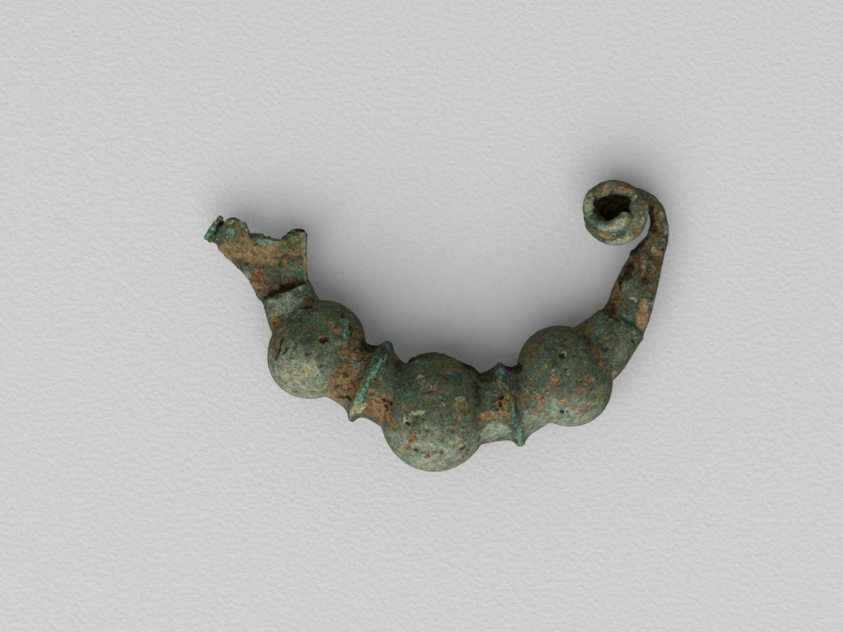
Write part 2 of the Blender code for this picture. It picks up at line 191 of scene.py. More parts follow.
class Wire:
    """A socket of a node tree, with arithmetic that adds Math nodes behind it."""

    def __init__(self, graph: "Graph", socket: bpy.types.NodeSocket) -> None:
        """Wrap an output socket of one of the graph's nodes."""
        self.graph = graph
        self.socket = socket

    def out(self, name: str) -> "Wire":
        """Another output of the same node."""
        return self.graph.output_of(self.socket.node, name)

    def _math(self, operation: str, *parts: "Wire | float") -> "Wire":
        """Add a Math node that works on these values."""
        return self.graph.add("ShaderNodeMath", {"operation": operation}, dict(enumerate(parts)))

    def __add__(self, other: "Wire | float") -> "Wire":
        """Sum."""
        return self._math("ADD", self, other)

    def __radd__(self, other: float) -> "Wire":
        """Sum with a number on the left."""
        return self._math("ADD", other, self)

    def __sub__(self, other: "Wire | float") -> "Wire":
        """Difference."""
        return self._math("SUBTRACT", self, other)

    def __rsub__(self, other: float) -> "Wire":
        """Difference from a number on the left."""
        return self._math("SUBTRACT", other, self)

    def __mul__(self, other: "Wire | float") -> "Wire":
        """Product."""
        return self._math("MULTIPLY", self, other)

    def __rmul__(self, other: float) -> "Wire":
        """Product with a number on the left."""
        return self._math("MULTIPLY", other, self)

    def __truediv__(self, other: "Wire | float") -> "Wire":
        """Quotient."""
        return self._math("DIVIDE", self, other)

    def __rtruediv__(self, other: float) -> "Wire":
        """Quotient of a number on the left."""
        return self._math("DIVIDE", other, self)

    def most(self, other: "Wire | float") -> "Wire":
        """The larger of two values."""
        return self._math("MAXIMUM", self, other)

    def least(self, other: "Wire | float") -> "Wire":
        """The smaller of two values."""
        return self._math("MINIMUM", self, other)

    def rise(self, low: float, high: float) -> "Wire":
        """Ease from 0 at one value to 1 at another, or down where the first is the higher.

        Args:
            low: the value at which the result is 0.
            high: the value at which the result is 1.

        Returns:
            The eased share.
        """
        first, second, start, end = (low, high, 0.0, 1.0) if low < high else (high, low, 1.0, 0.0)
        settings = {"interpolation_type": "SMOOTHSTEP"}
        inputs = {"Value": self, "From Min": first, "From Max": second, "To Min": start, "To Max": end}
        return self.graph.add("ShaderNodeMapRange", settings, inputs)


class Graph:
    """A node tree for a material or for geometry, built by calls."""

    def __init__(self, tree: bpy.types.NodeTree) -> None:
        """Start on a tree, which is emptied first."""
        self.tree = tree
        tree.nodes.clear()

    @staticmethod
    def _socket(sockets: list[bpy.types.NodeSocket], key: str | int) -> bpy.types.NodeSocket:
        """Find a usable socket by its place or its name."""
        named = (socket for socket in sockets if socket.enabled and socket.name == key)
        return sockets[key] if isinstance(key, int) else next(named)

    def output_of(self, node: bpy.types.Node, name: str | None = None) -> Wire:
        """A node's output, by name, or its first one in use."""
        usable = [socket for socket in node.outputs if socket.enabled]
        return Wire(self, usable[0] if name is None else self._socket(node.outputs, name))

    def add(self, kind: str, settings: dict | None = None, inputs: dict | None = None) -> Wire | None:
        """Add a node.

        Args:
            kind: the node's type.
            settings: its own settings, set before its sockets.
            inputs: a value or a wire for each socket, by name or place.

        Returns:
            The node's first output, or None where it has none.
        """
        node = self.tree.nodes.new(kind)
        for name, value in (settings or {}).items():
            setattr(node, name, value)
        for key, value in (inputs or {}).items():
            socket = self._socket(node.inputs, key)
            if isinstance(value, Wire):
                self.tree.links.new(value.socket, socket)
            else:
                socket.default_value = value
        return self.output_of(node) if node.outputs else None

    def vector(self, operation: str, first: Wire, second: Wire | tuple | None = None) -> Wire:
        """Vector maths on one or two vectors."""
        inputs = {0: first} if second is None else {0: first, 1: second}
        return self.add("ShaderNodeVectorMath", {"operation": operation}, inputs)

    def scaled(self, vector: Wire, factor: Wire | float) -> Wire:
        """A vector times a number."""
        inputs = {"Vector": vector, "Scale": factor}
        return self.add("ShaderNodeVectorMath", {"operation": "SCALE"}, inputs)

    def parted(self, vector: Wire) -> Wire:
        """A vector's first part. Its outputs "Y" and "Z" are the others."""
        return self.add("ShaderNodeSeparateXYZ", {}, {"Vector": vector})

    def mix(
        self, share: Wire | float, first: Wire | Colour, second: Wire | Colour, way: str = "MIX"
    ) -> Wire:
        """Mix two colours.

        Args:
            share: how much of the second there is.
            first: the colour beneath.
            second: the colour above.
            way: how they are blended.

        Returns:
            The mixed colour.
        """
        settings = {"data_type": "RGBA", "blend_type": way}
        return self.add("ShaderNodeMix", settings, {"Factor": share, "A": first, "B": second})

    def end_surface(
        self, colour: Wire, rough: Wire | float, shine: float, height: Wire, strength: float
    ) -> None:
        """End a material in one plain shader.

        Args:
            colour: its colour.
            rough: its roughness.
            shine: how strongly it mirrors.
            height: the height of its finest relief, in millimetres.
            strength: how much of that relief shows.
        """
        bump = self.add("ShaderNodeBump", {}, {"Strength": strength, "Distance": MM, "Height": height})
        inputs = {"Base Color": colour, "Roughness": rough, "Specular IOR Level": shine, "Normal": bump}
        shader = self.add("ShaderNodeBsdfPrincipled", {}, inputs)
        self.add("ShaderNodeOutputMaterial", {}, {"Surface": shader})


def new_material(name: str) -> tuple[bpy.types.Material, Graph, Wire]:
    """Start a material.

    Args:
        name: its name.

    Returns:
        The material, its graph, and the place on the piece in millimetres.
    """
    made = bpy.data.materials.new(name)
    made.use_nodes = True
    graph = Graph(made.node_tree)
    return made, graph, graph.scaled(graph.add("ShaderNodeTexCoord").out("Object"), 1.0 / MM)


def new_group(name: str, inputs: dict[str, str], outputs: dict[str, str]) -> bpy.types.NodeTree:
    """Make an empty geometry group with named sockets.

    Args:
        name: the group's name.
        inputs: the kind of each input, by name.
        outputs: the kind of each output, by name.

    Returns:
        The group.
    """
    tree = bpy.data.node_groups.new(name, "GeometryNodeTree")
    for direction, sockets in (("INPUT", inputs), ("OUTPUT", outputs)):
        for title, kind in sockets.items():
            tree.interface.new_socket(title, in_out=direction, socket_type=f"NodeSocket{kind}")
    return tree


def apply_tree(piece: bpy.types.Object, tree: bpy.types.NodeTree, values: dict) -> None:
    """Run a geometry tree on a piece and keep the result as its mesh.

    Args:
        piece: the piece, whose other modifiers are applied with it.
        tree: the geometry tree.
        values: the tree's inputs, by name.
    """
    modifier = piece.modifiers.new("tree", "NODES")
    modifier.node_group = tree
    for item in tree.interface.items_tree:
        if item.in_out == "INPUT" and item.name in values:
            modifier[item.identifier] = values[item.name]
    graph = bpy.context.evaluated_depsgraph_get()
    graph.update()
    seen = piece.evaluated_get(graph)
    mesh = bpy.data.meshes.new_from_object(seen, preserve_all_data_layers=True, depsgraph=graph)
    piece.modifiers.clear()
    piece.data = mesh


@dataclass(frozen=True)
class Noise:
    """One pattern of soft noise around one half.

    Attributes:
        per_mm: how many swells there are in a millimetre.
        detail: how many finer layers it has.
        seed: which of many such patterns.
        low: the level at which it starts to show, where it covers something.
        high: the level at which it shows in full.
        share: how much there is of it.
    """

    per_mm: float
    detail: float
    seed: int
    low: float = 0.0
    high: float = 1.0
    share: float = 1.0

    def at(self, graph: Graph, place: Wire) -> Wire:
        """Read the plain noise.

        Args:
            graph: the graph to build in.
            place: where it is read, in millimetres.

        Returns:
            The noise's value. Its output "Color" holds three such values.
        """
        shifted = graph.vector("ADD", place, tuple(step * self.seed for step in NOISE_STEP))
        inputs = {"Vector": shifted, "Scale": self.per_mm, "Detail": self.detail}
        return graph.add("ShaderNodeTexNoise", {}, {**inputs, "Roughness": NOISE_ROUGHNESS})

    def swing(self, graph: Graph, place: Wire) -> Wire:
        """The noise around nought, times its share."""
        return (self.at(graph, place) - 0.5) * self.share

    def cover(self, graph: Graph, place: Wire) -> Wire:
        """How much it covers: nothing below its low level, and its share above its high one."""
        return self.at(graph, place).rise(self.low, self.high) * self.share


@dataclass(frozen=True)
class Pits:
    """Small round pits, scattered with no order. Lengths are in millimetres."""

    spacing: float = 0.95
    share: float = 0.5
    smallest: float = 0.08
    largest: float = 0.25
    seed: int = 3
    wobble: float = 0.35
    wobble_per_mm: float = 1.9
    slope: tuple[float, float] = (-0.03, 0.10)
    fading: float = 0.02

    def mask(self, graph: Graph, place: Wire, wider: float = 0.0) -> Wire:
        """How deep in a pit a place is, from 0 outside to 1 in its middle.

        Args:
            graph: the graph to build in.
            place: where it is read, in millimetres.
            wider: how much is added to each pit's reach.

        Returns:
            The mask.
        """
        shift = Noise(self.wobble_per_mm, 1.0, self.seed).at(graph, place).out("Color")
        moved = graph.vector("ADD", place, graph.scaled(shift, self.wobble))
        cells = graph.add("ShaderNodeTexVoronoi", {}, {"Vector": moved, "Scale": 1.0 / self.spacing})
        chance = graph.parted(cells.out("Color"))
        empty = 1.0 - self.share
        present = chance.out("Y").rise(empty, empty + self.fading)
        size = self.smallest + wider + chance * (self.largest - self.smallest)
        return (size - cells).rise(*self.slope) * present


@dataclass
class CatchPlate:
    """The broken catch-plate with its fold, and the block that it grows from. Lifts in millimetres."""

    dome: float = 0.30
    ridge: float = 0.16
    layer_step: float = -0.14

    def marks(self) -> list[Mark]:
        """What lies on the plate, the fold and the block, with painted highlights and shadows.

        Returns:
            The marks.
        """
        return laid({
            Layer.BROWN: [
                (256, 254, 30, 16, -12, 0.55), (262, 262, 30, 8, -8, 0.7, 0.04),
                (283, 284, 22, 5, 15, 0.75), (308, 304, 10, 5.5, 20, 0.9, 0.08),
                (277, 325, 9, 8, 35, 0.9, 0.06),
            ],
            Layer.TAN: [
                (256, 251, 28, 12, -12, 0.9), (228, 251, 14, 9, -45, 0.6),
                # (305.5, 268) is a painted highlight along the plate's right edge, in tan.
                (305.5, 268, 2.2, 14, 0, 0.9), (272, 317, 4, 7, 30, 0.5),
            ],
            Layer.MINT: [
                (287, 271, 18, 9, 5, 0.2), (243.5, 225, 2.2, 8, 30, 1, 0.08),
                (230, 232, 4, 3, 0, 0.8, 0.1), (267, 242.5, 14, 2.6, -4, 1, self.ridge),
                # (250, 277) is a painted highlight along the plate's lower left edge, in mint.
                (303, 240, 3, 14, 0, 0.6), (250, 277, 3.2, 10, 30), (214, 222, 2.4, 7, -35, 0.7),
                # These two are painted highlights on the block's corner and top, in mint.
                (270.5, 301.5, 4.5, 2.6, 25, 0.95, 0.05), (289, 297, 2.5, 3.4, 0, 0.8, 0.04),
                (284, 306, 17, 9, 15, 0.6), (300, 311, 3.2, 3, 0, 0.9, 0.05),
            ],
            Layer.OLIVE: [(236, 232, 13, 13, 0, 0.8, self.dome, 0.6), (292, 243, 15, 12, 0, 0.75)],
            Layer.CREAM: [
                (232, 222, 6, 1.6, 25, 0.6), (268, 242.5, 3.4, 1.3, 0, 0.7), (268, 261, 1.6, 1.4),
            ],
            Layer.TEAL: [
                (229, 234, 5, 4, 0, 1, -0.05), (264, 243, 10, 2.4, -4), (211, 226, 5.5, 14, -35),
                (298, 289, 6, 2.4, 20, 0.85), (286, 293, 5, 2.2, 25, 0.7),
            ],
            Layer.DEEP_TEAL: [
                (256, 243.5, 3.5, 2.5, 0, 1, -0.12), (262, 234, 15, 3.4, -8), (284, 236, 9, 3.2, 20),
                (293, 232, 9, 3.4, 42),
            ],
            Layer.RUST: [
                (286, 256, 18, 2.6, 6, 0.8, -0.06), (258, 280, 10, 12, 25, 0.85),
                (266, 290, 9, 7, 20, 0.7), (222, 221, 2.2, 4, -35, 0.7), (282, 329, 5, 4, 30, 0.7),
            ],
            Layer.SOIL: [
                # (285, 290) lays soil along the block's step and also paints the shadow that the step
                # casts.
                (280, 257, 10, 1.6, 8, 0.6, -0.05), (285, 290, 21, 5, 22, 0.9),
                (301, 229, 6, 2.6, -18, 0.8), (252, 235, 5, 1.8, -20, 0.7),
                # (219.5, 227) is painted shadow in the fold's channel, in the soil colour.
                (237, 219, 9, 1.8, -15, 0.6), (219.5, 227, 2.6, 8, -35, 0.95, -0.1),
                (305, 308.5, 7, 2.6, 15, 0.85),
            ],
            Layer.FLAKE: [(288, 270, 19, 13, 5, 1, self.layer_step, 0.12)],
            Layer.RED: [(261, 277, 5, 5, 25, 0.75), (268, 288, 6, 4, 20, 0.6)],
        })


@dataclass
class BeadedBow:
    """The three beads with the necks and discs between them. Lifts are in millimetres."""

    crust: float = 0.45
    pit: float = -0.28
    rim: float = 0.12

    def first_bead(self) -> list[Mark]:
        """What lies on the bead beside the block.

        Returns:
            The marks.
        """
        return laid({
            Layer.MINT: [
                # The first mint patch covers the bead's lower, lit side: mint patina that also paints
                # the light there.
                (296, 389, 43, 32, -22, 1, 0, 0.8), (287, 350, 9, 10, 0, 0.4),
                (340, 343, 9, 5, 10, 0.5),
            ],
            Layer.CREAM: [(302, 372, 24, 15, -15, 0.42, 0, 0.8)],
            Layer.RUST: [
                (291, 371.5, 2.8, 2.2, 0, 1, -0.05), (303.5, 371.5, 2.8, 2.2, 0, 1, -0.05),
                (296, 376, 2.2, 2.2, 0, 1, -0.05), (302.5, 381.5, 2.6, 2, 0, 1, -0.05),
                (294.5, 392, 3, 2, 0, 1, -0.05), (313.5, 391.5, 3, 1.8, -10, 1, -0.05),
                (331, 324, 3.4, 6, 35, 0.85), (336, 330, 5, 3, 10, 0.8), (323, 337, 4, 2.6, 0, 0.8),
                (277, 379, 5, 4, 0, 0.5), (300, 391, 9, 3, -10, 0.35),
                (346, 386, 17, 20, 20, 0.62, -0.08, 0.22), (336, 393, 10, 9, -10, 0.8),
                (348, 355, 13, 4, -8, 0.8),
            ],
            Layer.SOIL: [
                (307, 354, 3.6, 2, 0, 0.7, -0.05), (297, 345, 2.4, 3, 0, 0.6, -0.05),
                (321, 366, 4, 2.2, 20, 0.6, -0.05), (280, 347, 1.8, 11, -22, 0.9, -0.14),
                (285, 349, 1.4, 7, -30, 0.85, -0.12), (276, 356, 1.6, 6, -10, 0.8, -0.12),
                (303, 330, 18, 10, 20, 0.35), (308, 340, 9, 5, 10, 0.5),
                (326, 339, 5.2, 3.2, -8, 1, self.pit, 0.25), (350, 328, 2.4, 7, -10, 0.8, -0.08),
                (342.5, 316, 2.2, 3.4, 20, 0.9, -0.14), (338, 311, 6, 1.5, -12, 0.8, -0.06),
                (337, 387, 5, 1.8, 40, 0.7, -0.06), (346, 375, 5, 1.6, -30, 0.7, -0.06),
                (354, 385, 2.2, 6, 20, 0.8, -0.06), (349, 390, 4, 1.6, 30, 0.7, -0.06),
                (341, 397, 5, 2, -25, 0.75, -0.06), (348, 398.5, 3.2, 3.2, 0, 1, self.pit, 0.25),
            ],
            Layer.BROWN: [
                (276, 345, 6, 14, -10, 0.6), (355, 338, 8, 15, 12, 0.95, 0.05),
                (349, 378, 16, 20, 10, 0.8), (357, 352, 9, 14, -20, 0.8), (341, 348, 7, 4, 0, 0.7),
            ],
            Layer.TEAL: [(346, 329, 3, 9, -12, 0.95), (356, 365, 5, 4, 0, 0.6)],
            Layer.TAN: [(342, 381, 5, 3.4, 20, 0.6), (334, 401, 12, 3.2, -8, 0.8)],
        })

    def first_disc(self) -> list[Mark]:
        """What lies on the disc between the first two beads, and on the necks beside it.

        Returns:
            The marks.
        """
        return laid({
            Layer.SOIL: [
                (368, 346, 12, 8, -30, 0.85), (386, 350, 6, 4, 0, 0.5),
                (385, 401, 2.6, 2, 0, 0.9, -0.12), (390.5, 403.5, 2.2, 2.6, 20, 0.9, -0.12),
                (386, 408, 3, 1.8, -20, 0.9, -0.12), (391, 410, 1.8, 2.2, 0, 0.8, -0.1),
                (399, 366, 4, 17, -18, 0.6),
            ],
            Layer.BROWN: [(364, 362, 9, 12, -25, 0.8)],
            Layer.TEAL: [
                (379, 362, 3.3, 26, -29, 1, self.rim), (362, 394, 2.9, 20, -25, 0.95, self.rim),
            ],
            Layer.DEEP_TEAL: [(379, 357, 2.8, 12, -32, 0.95)],
            Layer.CREAM: [(358, 408, 8, 7, -20, 0.95)],
            Layer.MINT: [(352, 417, 5, 7, -20, 0.7)],
            Layer.RUST: [
                (380, 409, 17, 15, 10, 1, -0.05, 0.25), (372, 392, 9, 5, -20, 0.55),
                (392, 424, 6, 9, 25, 0.8),
            ],
            Layer.OLIVE: [(385, 381, 9, 7, 0, 0.35)],
        })

    def middle_bead(self) -> list[Mark]:
        """What lies on the middle bead.

        Returns:
            The marks.
        """
        return laid({
            Layer.SOIL: [
                (429, 357, 18, 6, 4, 0.55, self.crust, 0.6),
                (414, 361, 6, 3.4, 30, 0.9, self.crust / 2, 0.5),
                (468, 368, 8, 4, -28, 1, self.crust / 2, 0.5),
                (484, 377, 20, 9, -4, 0.7, self.crust, 0.5), (417, 417.5, 3.4, 1.6, 10, 0.7, -0.1),
                (424, 420, 2.4, 1.4, -20, 0.6, -0.08), (408, 423, 3.8, 2.2, -8, 1, self.pit, 0.25),
                (441, 415, 3.4, 1.6, -20, 0.55, -0.05), (446, 421, 2.6, 1.6, 10, 0.55, -0.05),
                (432, 392, 4, 1.4, 5, 0.6, -0.05), (426, 430, 3, 1.4, 25, 0.6, -0.05),
                (452, 433, 3, 1.6, -10, 0.5, -0.05), (439, 401, 8, 4, 0, 0.35),
                (416, 450, 3.4, 2, -22, 0.75, -0.08), (422, 453, 4, 1.6, -22, 0.75, -0.08),
                (428, 456, 2.4, 1.8, 0, 0.7, -0.08), (442, 454, 2.6, 1.4, 0, 0.6, -0.06),
                (463, 448, 4, 2, 14, 0.75, -0.06), (468, 451, 3, 1.6, 14, 0.75, -0.06),
                (444, 440, 1.4, 4, 5, 0.6, -0.08), (476, 392, 3.4, 20, 4, 0.5),
            ],
            Layer.MINT: [
                # The first mint patch covers the bead's lower, lit side: mint patina that also paints
                # the light there.
                (434, 461, 52, 33, -3, 1, 0, 0.8), (397, 436, 16, 14, -30, 0.6),
                (428, 386, 9, 5, 20, 0.3),
            ],
            Layer.DEEP_TEAL: [
                (458, 379, 8, 8, 0, 0.55), (409, 384, 8, 12, 10, 0.3), (436, 420, 9, 6, 0, 0.35),
            ],
            Layer.OLIVE: [(446, 369, 14, 6, -10, 0.5), (461.5, 407.5, 9, 9, 0, 1, 0.14, 0.1)],
            Layer.BROWN: [(464, 412, 6, 5, 0, 0.6), (439, 452, 8, 2.4, 4, 0.6, -0.08)],
            Layer.CREAM: [
                (460, 398.5, 6.5, 1.8, 8, 0.6), (424, 380, 4, 1.6, 20, 0.5), (418, 413, 9, 2.2, 8, 0.7),
                (404.5, 419, 2.6, 4, 10, 0.85), (421, 376, 3, 1.4, 30, 0.6, 0.05),
                (443, 404, 3.4, 1.2, -15, 0.6, 0.05), (424, 427, 4, 1.3, 20, 0.6, 0.05),
                (461, 446, 3, 4, 20, 0.5), (452, 443, 5, 3, 0, 0.45),
            ],
            Layer.RUST: [
                (437, 390, 8, 2.4, 4, 0.8), (423, 383, 5, 4, 0, 0.55), (430, 398, 4, 3, 0, 0.5),
                (403, 407, 4, 3.4, 0, 0.6), (455, 428, 4, 3, 0, 0.75), (412, 438, 6, 6.5, -25, 0.85),
                (407, 447, 3.2, 3.6, 0, 0.8), (466, 454.5, 4, 1.6, 8, 0.7), (478, 421, 4, 8, 4, 0.65),
            ],
            Layer.TAN: [(423, 435, 5, 3, 0, 0.5)],
        })

    def second_disc(self) -> list[Mark]:
        """What lies on the disc between the last two beads, and on the necks beside it.

        Returns:
            The marks.
        """
        return laid({
            Layer.RUST: [
                (503, 405, 5, 9, 5, 0.9), (480, 420, 4, 7, 0, 0.7), (524, 396, 7, 6, 0, 0.55),
                (529, 407, 12, 2.6, 6, 0.6),
            ],
            Layer.SOIL: [
                (501.5, 398, 2, 2.4, 0, 1, -0.14), (501, 404.5, 1.8, 2.2, 0, 1, -0.12),
                (517, 383, 5, 11, 10, 0.5, 0, 0.8), (515, 369, 12, 7, -10, 1, 0.18, 0.5),
            ],
            Layer.TAN: [(494, 415, 15, 4, 2), (499.5, 384, 2, 5, 10, 0.5)],
            Layer.MINT: [(495, 430, 15, 9, 4), (527, 389, 5, 3.4, 0, 0.5), (531, 420, 13, 12, 10, 0.9)],
            Layer.TEAL: [(503, 375, 3, 14, 18, 1, self.rim), (516.5, 427, 3.2, 21, 15, 1, self.rim)],
            Layer.DEEP_TEAL: [(504, 380, 2.6, 6, 12, 0.9), (515, 424, 2.2, 9, 16, 0.7)],
            Layer.BROWN: [(507, 397, 3.6, 10, 10, 0.95, -0.16, 0.3), (514.5, 402, 3, 17, 10, 0.8)],
            Layer.FLAKE: [(520.5, 443, 4.5, 4.5, 0, 1, 0.4, 0.8)],
        })

    def last_bead(self) -> list[Mark]:
        """What lies on the bead beside the collar.

        Returns:
            The marks.
        """
        return laid({
            Layer.MINT: [
                # The first mint patch covers the bead's lower, lit side: mint patina that also paints
                # the light there.
                (562, 421, 42, 25, 12, 0.95, 0, 0.8), (551, 402, 13, 7, -10, 0.55),
                (532, 346, 4, 3.4, 30, 0.55),
            ],
            Layer.SOIL: [
                (545, 361, 2.4, 1.8, 0, 0.7, -0.08), (574, 356, 2.6, 1.6, 20, 0.6, -0.06),
                (562, 356.5, 3.4, 2.8, 0, 1, self.pit, 0.25), (567, 369, 3, 2.4, 0, 0.8, -0.14),
                (561, 411.5, 2, 2, 0, 1, -0.14), (567.5, 412, 1.6, 1.8, 0, 0.9, -0.12),
                (586, 340, 8, 8, 0, 0.45),
            ],
            Layer.DEEP_TEAL: [(553, 352, 12, 8, 0, 0.35)],
            Layer.RUST: [
                (549, 386, 4, 3, 10, 0.7), (573, 408, 3.4, 2.4, 0, 0.7), (556, 380, 6, 4, -20, 0.75),
                (541, 398, 7, 4.4, -25, 0.85), (579, 392, 8, 4, 20, 0.6), (588, 380, 6, 5, 30, 0.55),
                (585, 408, 8, 5, 30, 0.5), (602, 362, 4.4, 18, 40, 0.7),
            ],
            Layer.CREAM: [
                (552, 371, 2.8, 1.3, 30, 0.6, 0.05), (564.5, 354.5, 1.8, 3.4, 30, 0.5),
                (569, 372, 2.4, 3.8, 20, 0.6),
            ],
            Layer.BROWN: [
                (531, 352, 7, 16, -20, 0.55), (563, 344, 6, 3.6, 0, 0.6, -0.05),
                (551, 366, 5, 3, 0, 0.5), (572, 330, 16, 3, -12, 0.6),
            ],
            Layer.TAN: [(563, 401, 6.5, 3.2, 18), (613, 374, 5, 5, 40, 0.9)],
            Layer.OLIVE: [(601, 395, 10, 14, 30, 0.6)],
        })

    def marks(self) -> list[Mark]:
        """What lies on the whole row of beads."""
        parts = (self.first_bead, self.first_disc, self.middle_bead, self.second_disc, self.last_bead)
        return [mark for part in parts for mark in part()]


@dataclass
class Leg:
    """The collar, and the leg that tapers from it to the wire. Lifts are in millimetres."""

    sunk: float = -0.22
    raised: float = 0.12

    def marks(self) -> list[Mark]:
        """What lies on the collar, the leg and the wire.

        Returns:
            The marks.
        """
        return laid({
            Layer.BROWN: [
                (587, 330, 9, 5, 30, 0.75), (611, 302, 11, 18, -34), (646, 262, 15, 28, -16, 0.75),
                (640, 318, 4, 10, -14, 0.5), (630, 267, 8, 13, -24, 0.7), (653, 287, 6, 11, -8, 0.6),
                (656, 220, 7, 26, 0, 0.95), (655, 200, 9, 8, -35, 0.8),
            ],
            Layer.RUST: [
                (606, 336, 4, 3.6, 0, 0.55), (621, 342, 4, 3, 0, 0.45), (627, 357, 8, 3, 45, 0.45),
                (614.5, 290, 4.2, 8, -22, 0.9), (641, 276, 3.4, 2.4, 0, 0.9),
                (658, 254, 6, 3.6, 0, 0.75),
            ],
            Layer.MINT: [
                (600, 331, 5, 3, 20, 0.4), (622, 352, 14, 8, 40, 0.45), (653, 303, 2.6, 4, -10, 0.9),
                (627, 286, 5, 4, 10, 0.25), (652, 243, 6, 4.4, 0, 0.7), (666, 230, 2.6, 7, 0, 0.75),
            ],
            Layer.SOIL: [
                (607, 349, 6, 1.4, -8, 0.7, -0.08), (598, 342, 5, 9, 25, 0.4),
                # (611, 316) is painted shadow along the collar's step, in the soil colour.
                (634, 342, 2, 2, 0, 0.8, -0.1), (611, 316, 15, 2.6, -30, 0.7),
                (642, 266, 13, 22, -18, 0.3), (609, 308, 9, 9, -20, 0.55),
                (620.5, 286, 1.6, 6, 10, 1, -0.08), (628, 272, 6, 12, -24, 0.9, 0.14),
                (634, 252, 5, 6, -20, 0.85, 0.2), (646, 281, 5, 3.4, -20, 0.65),
                (643, 252, 6, 3, -20, 0.6), (650, 258, 4, 2, 20, 0.6), (640, 246, 6, 5, 25, 0.7),
                (662, 249.5, 2, 1.8, 0, 1, -0.16), (652, 222, 3.4, 18, 4, 0.8),
            ],
            Layer.FLAKE: [
                (610, 302, 11, 20, -34, 1, self.sunk, 0.1), (633, 286, 12, 12, 0, 1, self.raised, 0.12),
                (629, 260, 3, 3, 0, 1, -0.3, 0.5),
            ],
            Layer.OLIVE: [(642, 284, 14, 14, -16, 0.5)],
            Layer.DEEP_TEAL: [
                (641, 288, 10, 8, -20, 0.5), (629, 324, 12, 4.4, -32, 0.9), (630, 302, 8, 6, 0, 0.4),
                (648, 298.5, 7, 2.2, -22, 0.9, 0.06), (636, 281, 6, 5, -20, 0.7),
                (649, 268, 3.4, 4, 0, 0.6),
            ],
            Layer.TEAL: [(626, 318, 8, 4, -30, 0.45), (646, 262, 4, 3, 0, 0.45)],
            Layer.CREAM: [
                (633, 299, 5, 1.3, -25, 0.6), (643, 269, 3, 3.4, 0, 0.4), (654, 249, 3, 3, 0, 0.6),
            ],
            Layer.TAN: [
                (643.5, 315, 7.6, 17, -16, 1, self.sunk / 2, 0.12), (661.5, 217, 3.2, 4.6, 0, 0.8),
            ],
            Layer.RED: [
                (637, 259, 5.4, 4.2), (653, 274.5, 4, 2.8), (646, 290, 2.6, 2, 0, 0.8),
                (632, 268, 2.4, 3, 0, 0.6),
            ],
        })


